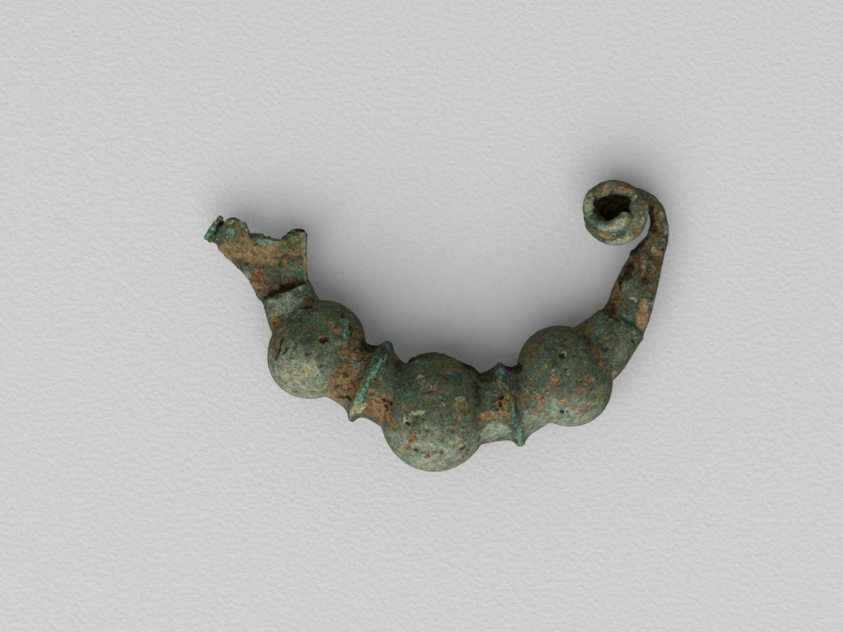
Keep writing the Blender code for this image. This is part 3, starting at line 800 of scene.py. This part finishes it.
@dataclass
class Coil:
    """What is left of the spring, with the earth in its hole and the crust under its end.

    Heights, radii and lifts are in millimetres, the other places in the picture's pixels, and the
    turns in degrees.
    """

    worn: float = 0.04
    earth_seen: tuple[float, float] = (616, 210)
    earth_height: float = 4.1
    earth_radii: tuple[float, float, float] = (3.4, 3.0, 0.9)
    crust_centre: tuple[float, float] = (613, 211)
    crust_reach: tuple[float, float] = (21.5, 23.5)
    crust_turns: tuple[int, int] = (-125, 10)
    crust_count: int = 9
    crust_height: float = 7.9
    crust_radius: float = 0.85
    lump_sides: int = 24
    lump_rings: int = 12

    def _lump(
        self, solid: bmesh.types.BMesh, centre: Vector, radii: tuple[float, float, float]
    ) -> None:
        """Add a closed lump.

        Args:
            solid: the solid, which gets the lump.
            centre: the lump's centre.
            radii: its half width, half depth and half height.
        """
        place = Matrix.Translation(centre) @ Matrix.Diagonal((*radii, 1.0))
        sides = {"u_segments": self.lump_sides, "v_segments": self.lump_rings}
        bmesh.ops.create_uvsphere(solid, radius=1.0, matrix=place, **sides)

    def pack_earth(self, solid: bmesh.types.BMesh, picture: Picture) -> None:
        """Fill the coil's hole with earth, and the groove under its end with crust.

        Args:
            solid: the solid, which gets the lumps.
            picture: the frame that the places are seen in.
        """
        self._lump(solid, picture.spot(self.earth_seen, self.earth_height), self.earth_radii)
        start, end = self.crust_turns
        for step in range(self.crust_count):
            turn = math.radians(start + (end - start) * step / (self.crust_count - 1))
            seen = (
                self.crust_centre[0] + self.crust_reach[0] * math.cos(turn),
                self.crust_centre[1] - self.crust_reach[1] * math.sin(turn),
            )
            self._lump(solid, picture.spot(seen, self.crust_height), (self.crust_radius,) * 3)

    def marks(self) -> list[Mark]:
        """What lies on the coil's turns.

        Returns:
            The marks.
        """
        return laid({
            Layer.BROWN: [(624, 185, 14, 5, -12, 0.65), (642, 206, 6, 13, 8, 0.45, 0.34, 0.5)],
            Layer.MINT: [
                (622, 191, 14, 3, -8, 0.4), (610, 184, 6, 3.4, 15, 0.55), (589, 201, 5, 10, 0, 0.95),
                # (616, 225) and (625.5, 213.5) are mint on the wire's end that also paints the
                # highlight on it.
                (616, 225, 17, 7.5, 12, 1, self.worn), (625.5, 213.5, 4, 4, 0, 0.6),
                # (646.5, 212) is a mint streak that also paints a highlight on the ring's right side.
                (621, 243, 15, 5, 4, 0.8), (632, 236, 4, 4, 0, 0.5), (646.5, 212, 2, 9, 10, 0.7),
                (636, 224, 5, 8, -20, 0.5), (588, 190, 6, 7, -40, 0.5), (630, 191, 4, 5, -30, 0.45),
            ],
            Layer.TAN: [
                (603, 191, 8, 5, 30, 0.7), (606, 236, 9, 3.4, -14, 0.8), (624, 190, 12, 3.4, -10, 0.5),
            ],
            Layer.CREAM: [
                (588, 204, 2.6, 8, 0, 0.5), (617, 224, 12, 4.4, 15, 0.6), (624, 240, 10, 4, 10, 0.55),
                # (634, 199) is a cream streak that also paints a highlight on the ring's upper right.
                (643, 222, 2.2, 6, 0, 0.5), (634, 199, 2.4, 6, -30, 0.7),
            ],
            Layer.TEAL: [(591, 215, 5, 6, 20, 0.75), (604, 222, 5, 3.4, -20, 0.5)],
            Layer.DEEP_TEAL: [(592.5, 217.5, 2.6, 2.6, 0, 1, -0.1)],
            Layer.RUST: [(637, 234, 5, 7, -35, 0.7), (640, 205, 4, 7, 10, 0.7)],
            # (615, 208) lays soil over the earth in the hole and also paints the hole's shade; (596.5,
            # 207) darkens the inner edge on its left.
            Layer.SOIL: [(615, 208, 22, 17), (596.5, 207, 3.4, 12), (602, 217, 6, 3.4, -35)],
            Layer.FLAKE: [
                (585, 206, 6, 30, 0, 1, 0.32, 0.9), (598.5, 205, 4, 13, 0, 1, -0.42, 0.5),
                (612, 192.5, 15, 4, 0, 1, 0.22, 0.5), (608, 221, 9, 4, -10, 1, -0.4, 0.5),
            ],
            Layer.OLIVE: [(634, 222, 8, 12, 0, 0.5)],
        })


@dataclass
class Edges:
    """Where the form is sharp, so that easing leaves it alone."""

    softness: float = 0.1

    def marks(self) -> list[Mark]:
        """The plate, the step of the block, the rims of the discs and the end of the collar.

        Returns:
            The marks.
        """
        sharp = [
            (258, 250, 62, 46, 0),
            (285, 300, 30, 14, 20),
            (369, 382, 9, 48, -27),
            (511, 404, 9, 48, 13),
            (622, 322, 30, 10, -38),
        ]
        return laid({Layer.CRISP: [(*row, 1.0, 0.0, self.softness) for row in sharp]})


@dataclass
class Weathering:
    """Relief on the skin and the amount of each layer, made by Geometry Nodes.

    Attributes:
        waviness: the height of the broadest swells, in millimetres as the next ones are.
        lumps: the height of the lumps.
        grain: the height of the grain, most of it on rust and earth.
        pit_depth: the depth of the pits.
        chips: how far the sharp edges are broken.
        easing: how many times facets are averaged away.
        hollow_reach: how many times places are averaged to find the hollows.
        mark_depth: the least half depth of a mark.
        fray: how far a mark's outline strays, in shares of its size.
        fewest: the fewest points that a part of the skin may have.
        bare_grain: how much of the grain there is off rust and earth.
        unseen: the upward parts of the normal between which a place comes out of sight.
    """

    waviness: float = 0.16
    lumps: float = 0.14
    grain: float = 0.30
    pit_depth: float = 0.13
    chips: float = 0.8
    easing: int = 6
    hollow_reach: int = 14
    mark_depth: float = 0.9
    fray: float = 1.8
    fewest: float = 100.0
    bare_grain: float = 0.25
    unseen: tuple[float, float] = (-0.05, -0.35)
    pits: Pits = Pits()
    frayed: Noise = Noise(0.8, 3.0, 61)
    strays: tuple[Noise, ...] = (Noise(0.5, 2.0, 1, share=1.1), Noise(1.7, 2.0, 2, share=0.8))
    swells: Noise = Noise(0.22, 2.0, 4)
    bulges: Noise = Noise(0.75, 3.0, 5)
    grains: Noise = Noise(1.7, 3.0, 6)
    breaks: Noise = Noise(1.8, 2.0, 7)
    scattered: tuple[tuple[Layer, Noise], ...] = (
        (Layer.MINT, Noise(0.20, 3.0, 31, 0.52, 0.58, 0.9)),
        (Layer.RUST, Noise(0.38, 3.0, 32, 0.60, 0.66, 0.9)),
        (Layer.SOIL, Noise(0.30, 3.0, 33, 0.62, 0.68, 0.9)),
        (Layer.OLIVE, Noise(0.33, 3.0, 34, 0.56, 0.62, 0.9)),
    )

    def _mark_group(self) -> bpy.types.NodeTree:
        """The group that adds one mark to a layer's cover and to the relief.

        Returns:
            The group.
        """
        inputs = {
            "Place": "Vector", "Centre": "Vector", "Size": "Vector", "Turn": "Float", "Edge": "Float",
            "Amount": "Float", "Lift": "Float", "Fray": "Float", "Cover": "Float", "Height": "Float",
        }
        tree = new_group("Mark", inputs, {"Cover": "Float", "Height": "Float"})
        graph = Graph(tree)
        given = graph.add("NodeGroupInput")
        offset = graph.vector("SUBTRACT", given.out("Place"), given.out("Centre"))
        turning = {"Vector": offset, "Angle": given.out("Turn")}
        turned = graph.add("ShaderNodeVectorRotate", {"rotation_type": "Z_AXIS"}, turning)
        reach = graph.vector("LENGTH", graph.vector("DIVIDE", turned, given.out("Size"))).out("Value")
        mask = ((given.out("Fray") + 1.0 - reach) / given.out("Edge")).rise(-1.0, 1.0)
        cover = given.out("Cover").most(mask * given.out("Amount"))
        height = given.out("Height") + mask * given.out("Lift")
        graph.add("NodeGroupOutput", {}, {"Cover": cover, "Height": height})
        return tree

    def _all_marks(
        self, graph: Graph, place: Wire, marks: list[tuple[Mark, Vector]], scale: float
    ) -> tuple[dict[Layer, Wire], Wire]:
        """Add every mark.

        Args:
            graph: the graph to build in.
            place: the place, roughened by noise.
            marks: each mark with the place of its centre on the solid.
            scale: millimetres in a pixel.

        Returns:
            The amount of each layer, and how far the marks raise the surface.
        """
        group = self._mark_group()
        fray = self.frayed.swing(graph, place) * self.fray
        amounts: dict[Layer, Wire | float] = {layer: 0.0 for layer in Layer}
        height: Wire | float = 0.0
        for mark, centre in marks:
            across, along = (side * scale for side in mark.size)
            inputs = {
                "Place": place, "Centre": tuple(centre), "Turn": -math.radians(mark.turn),
                "Size": (across, along, max(across, along, self.mark_depth)), "Edge": mark.edge,
                "Amount": mark.amount, "Lift": mark.lift, "Fray": fray, "Cover": amounts[mark.layer],
                "Height": height,
            }
            cover = graph.add("GeometryNodeGroup", {"node_tree": group}, inputs)
            amounts[mark.layer] = cover
            height = cover.out("Height")
        return amounts, height

    def _scatter(self, graph: Graph, place: Wire, normal: Wire, amounts: dict[Layer, Wire]) -> None:
        """Spread layers with no order over the side that isn't seen in the picture.

        Args:
            graph: the graph to build in.
            place: the place.
            normal: the direction that the surface faces.
            amounts: the amount of each layer, which is changed.
        """
        hidden = graph.parted(normal).out("Z").rise(*self.unseen)
        for layer, noise in self.scattered:
            amounts[layer] = amounts[layer].most(noise.cover(graph, place) * hidden)

    def _blurred(self, graph: Graph, value: Wire, turns: int) -> Wire:
        """A vector averaged with its neighbours' a number of times over."""
        inputs = {"Value": value, "Iterations": turns}
        return graph.add("GeometryNodeBlurAttribute", {"data_type": "FLOAT_VECTOR"}, inputs)

    def _eased(self, graph: Graph, place: Wire, turns: int) -> Wire:
        """A place with the facets' edges eased, which leaves thin parts as thick as they were."""
        once = self._blurred(graph, place, turns)
        return graph.vector("SUBTRACT", graph.scaled(once, 2.0), self._blurred(graph, once, turns))

    def _without_crumbs(self, graph: Graph, shape: Wire) -> Wire:
        """Drop the tiny parts of the skin that can lie loose in a narrow gap.

        Args:
            graph: the graph to build in.
            shape: the skin.

        Returns:
            The skin in one part.
        """
        island = graph.add("GeometryNodeInputMeshIsland").out("Island Index")
        inputs = {"Value": 1.0, "Group ID": island}
        points = graph.add("GeometryNodeAccumulateField", POINT_FLOAT, inputs).out("Total")
        loose = {"Geometry": shape, "Selection": self.fewest - points}
        return graph.add("GeometryNodeDeleteGeometry", {"domain": "POINT"}, loose)

    @staticmethod
    def _store(graph: Graph, shape: Wire, name: str, value: Wire) -> Wire:
        """Keep a value on the mesh under a name."""
        inputs = {"Geometry": shape, "Name": name, "Value": value}
        return graph.add("GeometryNodeStoreNamedAttribute", POINT_FLOAT, inputs)

    @staticmethod
    def _moved(graph: Graph, shape: Wire, inputs: dict[str, Wire]) -> Wire:
        """The skin with its points set or shifted."""
        return graph.add("GeometryNodeSetPosition", {}, {"Geometry": shape, **inputs})

    @staticmethod
    def _strayed(graph: Graph, place: Wire, noise: Noise) -> Wire:
        """A place shifted by noise."""
        shift = graph.vector("SUBTRACT", noise.at(graph, place).out("Color"), HALF)
        return graph.vector("ADD", place, graph.scaled(shift, noise.share))

    def _relief(
        self, graph: Graph, place: Wire, given: Wire, amounts: dict[Layer, Wire], crisp: Wire
    ) -> Wire:
        """Work out how far the weather raises the surface, the marks apart.

        Args:
            graph: the graph to build in.
            place: the place.
            given: the tree's inputs.
            amounts: the amount of each layer.
            crisp: how sharp the form is.

        Returns:
            The height.
        """
        swell = self.swells.swing(graph, place) * given.out("Waviness")
        lumps = self.bulges.swing(graph, place) * given.out("Lumps")
        earthy = amounts[Layer.RUST].most(amounts[Layer.BROWN]).most(amounts[Layer.SOIL])
        grain = self.grains.swing(graph, place) * given.out("Grain") * (self.bare_grain + earthy)
        chips = self.breaks.swing(graph, place) * given.out("Chips") * crisp
        return swell + lumps + grain + chips - self.pits.mask(graph, place) * given.out("Pit depth")

    def _above_ground(self, graph: Graph, shape: Wire, place: Wire) -> Wire:
        """Keep every point from sinking below the surface that the piece lies on.

        Args:
            graph: the graph to build in.
            shape: the skin.
            place: the place.

        Returns:
            The skin, which stays above that surface.
        """
        parts = graph.parted(place)
        kept = {"X": parts, "Y": parts.out("Y"), "Z": parts.out("Z").most(0.0)}
        return self._moved(graph, shape, {"Position": graph.add("ShaderNodeCombineXYZ", {}, kept)})

    def tree(self, marks: list[tuple[Mark, Vector]], scale: float) -> bpy.types.NodeTree:
        """Build the tree.

        Args:
            marks: each mark with the place of its centre on the solid.
            scale: millimetres in a pixel.

        Returns:
            The node group.
        """
        sizes = dict.fromkeys(self.values(), "Float")
        inputs = {"Geometry": "Geometry", **sizes, "Material": "Material"}
        tree = new_group("Weathering", inputs, {"Geometry": "Geometry"})
        graph = Graph(tree)
        given = graph.add("NodeGroupInput")
        place = graph.add("GeometryNodeInputPosition")
        normal = graph.add("GeometryNodeInputNormal")
        drawn = graph.vector("SUBTRACT", self._blurred(graph, place, self.hollow_reach), place)
        hollow = graph.vector("DOT_PRODUCT", drawn, normal).out("Value")
        shape = self._store(graph, self._without_crumbs(graph, given), HOLLOW, hollow)
        rough = place
        for noise in self.strays:
            rough = self._strayed(graph, rough, noise)
        amounts, height = self._all_marks(graph, rough, marks, scale)
        shape = self._store(graph, shape, Layer.CRISP.value, amounts.pop(Layer.CRISP))
        named = {"Name": Layer.CRISP.value}
        crisp = graph.add("GeometryNodeInputNamedAttribute", {"data_type": "FLOAT"}, named)
        soft, sharp = self._eased(graph, place, self.easing), self._eased(graph, place, 1)
        blended = {"Factor": crisp, "A": soft, "B": sharp}
        eased = graph.add("ShaderNodeMix", {"data_type": "VECTOR"}, blended)
        shape = self._moved(graph, shape, {"Position": eased})
        self._scatter(graph, place, normal, amounts)
        for layer, amount in amounts.items():
            shape = self._store(graph, shape, layer.value, amount)
        total = height + self._relief(graph, place, given, amounts, crisp)
        shape = self._moved(graph, shape, {"Offset": graph.scaled(normal, total)})
        shape = self._above_ground(graph, shape, place)
        shape = graph.add("GeometryNodeRealizeInstances", {}, {"Geometry": shape})
        finished = {"Geometry": shape, "Material": given.out("Material")}
        shape = graph.add("GeometryNodeSetMaterial", {}, finished)
        graph.add("NodeGroupOutput", {}, {"Geometry": shape})
        return tree

    def values(self) -> dict[str, float]:
        """The tree's inputs, by name."""
        sizes = {"Waviness": self.waviness, "Lumps": self.lumps, "Grain": self.grain}
        return {**sizes, "Pit depth": self.pit_depth, "Chips": self.chips}


def carried(graph: Graph, name: str) -> Wire:
    """A value that the skin carries, for a material."""
    return graph.add("ShaderNodeAttribute", {"attribute_name": name}).out("Fac")


@dataclass(frozen=True)
class Coat:
    """One covering of the bronze, with the two colours that it varies between.

    Attributes:
        layer: the layer that says where it lies.
        dark: its darkest colour.
        light: its lightest colour.
        per_mm: how many swells of its tone there are in a millimetre.
        ragged: how much it is broken up.
        fade: the amounts between which it comes to cover in full.
        tones: the levels of noise between which it goes from dark to light.
        tone_detail: how many finer layers that noise has.
        coarse_per_mm: how many swells the coarser breaking up has in a millimetre.
        coarse_detail: how many finer layers it has.
        grit: how much of the breaking up is fine.
        broken: the amounts between which the breaking up sets in.
        excess: how far its cover may pass its amount.
    """

    layer: Layer
    dark: Colour
    light: Colour
    per_mm: float = 1.2
    ragged: float = 0.9
    fade: tuple[float, float] = (0.22, 0.62)
    tones: tuple[float, float] = (0.35, 0.65)
    tone_detail: float = 4.0
    coarse_per_mm: float = 2.3
    coarse_detail: float = 3.0
    grit: float = 0.8
    broken: tuple[float, float] = (0.02, 0.3)
    excess: float = 0.15

    def over(self, graph: Graph, place: Wire, below: Wire, grit: Wire, seed: int) -> Wire:
        """Lay the coat on what is there.

        Args:
            graph: the graph to build in.
            place: the place in millimetres.
            below: the colour so far.
            grit: fine noise that frays its edge.
            seed: which pattern of noise colours it. The next one breaks it up.

        Returns:
            The colour with the coat on it.
        """
        tone = Noise(self.per_mm, self.tone_detail, seed, *self.tones).cover(graph, place)
        shade = graph.mix(tone, self.dark, self.light)
        coarse = Noise(self.coarse_per_mm, self.coarse_detail, seed + 1).swing(graph, place)
        breaking = (coarse + (grit - 0.5) * self.grit) * self.ragged
        amount = carried(graph, self.layer.value)
        share = (amount + breaking * amount.rise(*self.broken)).rise(*self.fade)
        return graph.mix(share.least(amount + self.excess), below, shade)


@dataclass(frozen=True)
class Patina:
    """The finish of the bronze: green corrosion under earth, rust and turquoise, with painted light.

    Its first ten fields are colours; glint is a painted highlight. Each noise says where one of them
    shows, and the shares say how much of it shows there. A flake's edge is a line where its noise
    passes one half, with a painted highlight on it. The two widths are the squares of how far that line
    reaches in the noise's levels, and the painted shade lies beside it.
    """

    deep: Colour = paint(40, 53, 40)
    middle: Colour = paint(70, 83, 63)
    pale: Colour = paint(100, 113, 89)
    bluish: Colour = paint(58, 79, 71)
    mottle: Colour = paint(80, 70, 43)
    speck: Colour = paint(104, 74, 46)
    # Dark flecks, and also the painted shade beside the flakes' edges.
    dark_speck_and_shade: Colour = paint(34, 30, 20)
    # Soil colour for the hollows, where it also paints the shade that falls in them.
    earth: Colour = paint(44, 36, 22)
    pit: Colour = paint(38, 31, 20)
    # A painted highlight colour, for the glint dots, the flakes' edges and the pits' rims.
    glint: Colour = paint(146, 156, 132)
    clouds: Noise = Noise(0.28, 4.0, 11, 0.36, 0.66)
    blotches: Noise = Noise(1.0, 4.0, 12, 0.38, 0.68, 0.5)
    blue_clouds: Noise = Noise(0.5, 3.0, 6, 0.46, 0.60, 0.7)
    mottles: Noise = Noise(1.3, 4.0, 10, 0.50, 0.62, 0.65)
    specks: Noise = Noise(2.4, 3.0, 13, 0.56, 0.64, 0.48)
    glint_dots: Noise = Noise(4.4, 2.0, 14, 0.60, 0.70, 0.35)
    flecks: Noise = Noise(3.6, 3.0, 8, 0.56, 0.66, 0.55)
    hollow_soil_and_shade: Noise = Noise(1.6, 3.0, 15, 0.40, 0.60, 0.5)
    shaded_soiled_hollows: tuple[float, float] = (0.03, 0.16)
    unsoiled: float = 0.9
    flakes: Noise = Noise(0.85, 2.0, 51)
    flaked: Noise = Noise(0.6, 2.0, 52, 0.50, 0.60)
    # The flakes: painted shade along one side of each curled edge and a painted highlight on it.
    flake_shade: float = 0.022
    flake_shade_width: float = 0.0006
    flake_shade_share: float = 0.6
    flake_highlight_width: float = 0.0004
    flake_highlight_share: float = 0.5
    spots: Pits = Pits(1.15, 0.85, 0.20, 0.46, 9)
    spots_share: float = 0.65
    pits: Pits = Pits()
    pits_share: float = 0.8
    # Painted highlights on the rims of the pits: how far they reach, and how strongly they show.
    pit_rim_highlight: float = 0.10
    pit_rim_highlight_share: float = 0.2
    brightness: float = 1.11
    fine_tone: Noise = Noise(3.6, 4.0, 16, share=0.85)
    broad_tone: Noise = Noise(1.6, 2.0, 9, share=0.45)
    warmth: Noise = Noise(1.9, 3.0, 7, share=0.95)
    red_warmth: float = 0.6
    roughness: float = 0.81
    uneven: Noise = Noise(1.5, 3.0, 17, share=0.30)
    shine: float = 0.05
    grit: Noise = Noise(5.5, 2.0, 19, share=0.08)
    relief: Noise = Noise(2.8, 5.0, 18, share=0.28)
    bump: float = 0.8
    first_seed: int = 20
    coats: tuple[Coat, ...] = (
        Coat(Layer.OLIVE, paint(72, 68, 38), paint(112, 106, 70)),
        Coat(Layer.MINT, paint(98, 112, 96), paint(141, 149, 129), 0.9, 1.1, (0.0, 1.0)),
        Coat(Layer.BROWN, paint(54, 45, 26), paint(100, 83, 54)),
        Coat(Layer.RUST, paint(80, 60, 38), paint(130, 104, 74), 1.6),
        Coat(Layer.RED, paint(54, 36, 26), paint(108, 70, 52), 1.8),
        Coat(Layer.TAN, paint(104, 86, 56), paint(144, 123, 88)),
        Coat(Layer.TEAL, paint(46, 84, 70), paint(110, 149, 131), 1.8),
        Coat(Layer.DEEP_TEAL, paint(24, 42, 36), paint(50, 80, 68), 1.8),
        Coat(Layer.CREAM, paint(124, 124, 92), paint(172, 169, 136), 1.8),
        Coat(Layer.SOIL, paint(18, 14, 8), paint(48, 40, 25), 1.4),
    )

    def _base(self, graph: Graph, place: Wire) -> Wire:
        """Make the green that lies everywhere, clouded and mottled.

        Args:
            graph: the graph to build in.
            place: the place in millimetres.

        Returns:
            The colour.
        """
        colour = graph.mix(self.clouds.cover(graph, place), self.deep, self.middle)
        colour = graph.mix(self.blotches.cover(graph, place), colour, self.pale)
        colour = graph.mix(self.blue_clouds.cover(graph, place), colour, self.bluish)
        return graph.mix(self.mottles.cover(graph, place), colour, self.mottle)

    def _flaked(self, graph: Graph, place: Wire, colour: Wire, share: Wire) -> Wire:
        """Draw painted highlights on the curled edges of thin flakes, and painted shade beneath them.

        Args:
            graph: the graph to build in.
            place: the place in millimetres.
            colour: the colour so far.
            share: how much of this there is.

        Returns:
            The colour with the flakes.
        """
        level = self.flakes.swing(graph, place)
        under = level + self.flake_shade
        patches = self.flaked.cover(graph, place) * share
        shades = (under * under).rise(self.flake_shade_width, 0.0) * patches
        colour = graph.mix(shades * self.flake_shade_share, colour, self.dark_speck_and_shade)
        edges = (level * level).rise(self.flake_highlight_width, 0.0) * patches
        return graph.mix(edges * self.flake_highlight_share, colour, self.glint)

    def _speckled(self, graph: Graph, place: Wire, colour: Wire) -> Wire:
        """Add fine specks, painted glints, soil and painted shade in hollows, pits, and an uneven tone.

        Args:
            graph: the graph to build in.
            place: the place in millimetres.
            colour: the colour so far.

        Returns:
            The colour with all of these.
        """
        clean = 1.0 - carried(graph, Layer.SOIL.value) * self.unsoiled
        colour = graph.mix(self.specks.cover(graph, place) * clean, colour, self.speck)
        # Painted glints.
        colour = graph.mix(self.glint_dots.cover(graph, place) * clean, colour, self.glint)
        colour = graph.mix(self.flecks.cover(graph, place), colour, self.dark_speck_and_shade)
        # Soil and painted shade, laid where the surface is drawn in.
        hollow = carried(graph, HOLLOW).rise(*self.shaded_soiled_hollows)
        colour = graph.mix(hollow * self.hollow_soil_and_shade.cover(graph, place), colour, self.earth)
        spotted = self.spots.mask(graph, place) * carried(graph, Layer.MINT.value)
        colour = graph.mix(spotted * self.spots_share, colour, self.speck)
        colour = self._flaked(graph, place, colour, clean)
        # Painted highlights round the pits' rims.
        pit_rim_highlight = self.pits.mask(graph, place, self.pit_rim_highlight) * clean
        colour = graph.mix(pit_rim_highlight * self.pit_rim_highlight_share, colour, self.glint)
        colour = graph.mix(self.pits.mask(graph, place) * self.pits_share, colour, self.pit)
        value = self.brightness + self.fine_tone.swing(graph, place)
        value = value + self.broad_tone.swing(graph, place)
        warmth = self.warmth.swing(graph, place)
        red, blue = value * (1.0 + warmth * self.red_warmth), value * (1.0 - warmth)
        tone = graph.add("ShaderNodeCombineColor", {}, {"Red": red, "Green": value, "Blue": blue})
        return graph.mix(1.0, colour, tone, "MULTIPLY")

    def material(self) -> bpy.types.Material:
        """Build the material.

        Returns:
            The patina.
        """
        made, graph, place = new_material("patina")
        grits = graph.parted(self.grit.at(graph, place).out("Color"))
        colour = self._base(graph, place)
        for index, coat in enumerate(self.coats):
            grit = grits.out("XYZ"[index % 3])
            colour = coat.over(graph, place, colour, grit, self.first_seed + 2 * index)
        colour = self._speckled(graph, place, colour)
        rough = self.roughness + self.uneven.swing(graph, place)
        height = self.relief.swing(graph, place) + grits * self.grit.share
        graph.end_surface(colour, rough, self.shine, height, self.bump)
        return made


@dataclass
class Brooch:
    """The brooch: its skin, its weathering and its finish.

    Attributes:
        picture: the frame that the marks are seen in.
        voxel: the size of the skin's faces, in millimetres as the next ones are.
        weld: how near two corners of the solid are taken as one.
        heights: the heights at which a mark that misses the solid looks for it.
    """

    picture: Picture
    voxel: float = 0.238
    weld: float = 0.0005
    heights: range = range(1, 18)
    plate: CatchPlate = field(default_factory=CatchPlate)
    bow: BeadedBow = field(default_factory=BeadedBow)
    leg: Leg = field(default_factory=Leg)
    coil: Coil = field(default_factory=Coil)
    edges: Edges = field(default_factory=Edges)
    weathering: Weathering = field(default_factory=Weathering)
    finish: Patina = Patina()

    def _solid(self, node: bpy.types.Object) -> bmesh.types.BMesh:
        """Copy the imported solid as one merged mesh, in millimetres, with earth in its coil.

        Args:
            node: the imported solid's object.

        Returns:
            The copy.
        """
        solid = bmesh.new()
        solid.from_mesh(node.data)
        solid.transform(Matrix.Scale(1.0 / MM, 4))
        bmesh.ops.remove_doubles(solid, verts=solid.verts, dist=self.weld)
        self.coil.pack_earth(solid, self.picture)
        return solid

    def _settle(self, marks: list[Mark], tree: BVHTree) -> list[tuple[Mark, Vector]]:
        """Find where each mark lies on the solid.

        Args:
            marks: the marks.
            tree: the solid, ready for rays.

        Returns:
            Each mark with the place of its centre.
        """
        settled = []
        for mark in marks:
            ray = self.picture.ray(mark.seen)
            place = tree.ray_cast(self.picture.eye, ray.normalized())[0]
            if place is None:
                steps = [self.picture.spot(mark.seen, height) for height in self.heights]
                place = min((tree.find_nearest(step) for step in steps), key=lambda found: found[3])[0]
            settled.append((mark, place))
        return settled

    def build(self, node: bpy.types.Object) -> bpy.types.Object:
        """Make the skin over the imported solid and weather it.

        Args:
            node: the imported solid's object.

        Returns:
            The finished piece.
        """
        solid = self._solid(node)
        rays = BVHTree.FromBMesh(solid)
        mesh = bpy.data.meshes.new("brooch")
        solid.to_mesh(mesh)
        solid.free()
        piece = bpy.data.objects.new("brooch", mesh)
        bpy.context.scene.collection.objects.link(piece)
        remesh = piece.modifiers.new("remesh", "REMESH")
        remesh.mode = "VOXEL"
        remesh.voxel_size = self.voxel
        parts = (self.plate, self.bow, self.leg, self.coil, self.edges)
        marks = [mark for part in parts for mark in part.marks()]
        tree = self.weathering.tree(self._settle(marks, rays), self.picture.scale)
        apply_tree(piece, tree, {**self.weathering.values(), "Material": self.finish.material()})
        piece.data.transform(Matrix.Scale(MM, 4))
        piece.data.shade_smooth()
        return piece


@dataclass
class Studio:
    """The pale ground, the soft light and the camera.

    Attributes:
        picture: the frame that the camera takes in.
        ground: the width of the ground, in metres as the next lengths are.
        ground_colour: its lighter colour.
        ground_dark: its darker colour.
        ground_rough: its roughness.
        ground_shine: how strongly it mirrors.
        grain: its grain.
        grain_height: the height of its grain, in millimetres.
        grain_bump: how much of that shows.
        key_power: the large light's power, in watts.
        key_size: its width.
        key_distance: how far it is from the brooch.
        key_rise: how high it stands, in degrees.
        key_side: how far right of straight below in the picture it stands, in degrees, or how far
            left where it is negative.
        fill: the strength of the even light.
    """

    picture: Picture
    ground: float = 3.0
    ground_colour: Colour = paint(205, 204, 204)
    ground_dark: Colour = paint(201, 200, 200)
    ground_rough: float = 0.95
    ground_shine: float = 0.1
    grain: Noise = Noise(1.3, 4.0, 0, 0.3, 0.7)
    grain_height: float = 0.25
    grain_bump: float = 0.7
    key_power: float = 80.0
    key_size: float = 3.4
    key_distance: float = 2.5
    key_rise: float = 50.0
    key_side: float = -17.0
    fill: float = 0.37

    def _ground(self) -> None:
        """Lay the ground, which is not part of the object."""
        mesh = bpy.data.meshes.new("ground")
        shape = bmesh.new()
        bmesh.ops.create_grid(shape, x_segments=1, y_segments=1, size=self.ground / 2)
        shape.to_mesh(mesh)
        shape.free()
        ground = bpy.data.objects.new("ground", mesh)
        bpy.context.scene.collection.objects.link(ground)
        finish, graph, place = new_material("ground")
        grain = self.grain.at(graph, place)
        lightness = grain.rise(self.grain.low, self.grain.high)
        colour = graph.mix(lightness, self.ground_dark, self.ground_colour)
        height = grain * self.grain_height
        graph.end_surface(colour, self.ground_rough, self.ground_shine, height, self.grain_bump)
        mesh.materials.append(finish)

    def _key(self) -> None:
        """Hang the large soft light."""
        light = bpy.data.lights.new("key", "AREA")
        light.shape = "DISK"
        light.size = self.key_size
        light.energy = self.key_power
        rise, side = math.radians(self.key_rise), math.radians(self.key_side)
        level = math.cos(rise)
        away = Vector((math.sin(side) * level, -math.cos(side) * level, math.sin(rise)))
        key = bpy.data.objects.new("key", light)
        key.location = away * self.key_distance
        key.rotation_euler = away.to_track_quat("Z", "Y").to_euler()
        bpy.context.scene.collection.objects.link(key)

    def _fill(self) -> None:
        """Set the even light from all round."""
        world = bpy.data.worlds.new("fill")
        world.use_nodes = True
        graph = Graph(world.node_tree)
        white = (1.0, 1.0, 1.0, 1.0)
        shader = graph.add("ShaderNodeBackground", {}, {"Color": white, "Strength": self.fill})
        graph.add("ShaderNodeOutputWorld", {}, {"Surface": shader})
        bpy.context.scene.world = world

    def build(self) -> None:
        """Set up the ground, the lights and the camera."""
        self._ground()
        self._key()
        self._fill()
        self.picture.make_camera()
        bpy.context.scene.view_settings.view_transform = "Standard"


def main() -> None:
    """Build the brooch and its studio, and report each piece."""
    logging.basicConfig(level=logging.INFO, format="%(name)s: %(message)s")
    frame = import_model()
    picture = Picture()
    piece = Brooch(picture).build(frame["nodes"][NODE])
    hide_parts(NODE)
    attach(piece, BODY)
    LOG.info("%s: %d faces", piece.name, len(piece.data.polygons))
    Studio(picture).build()
    LOG.info("ground, lights and camera are in place")


if __name__ == "__main__":
    main()
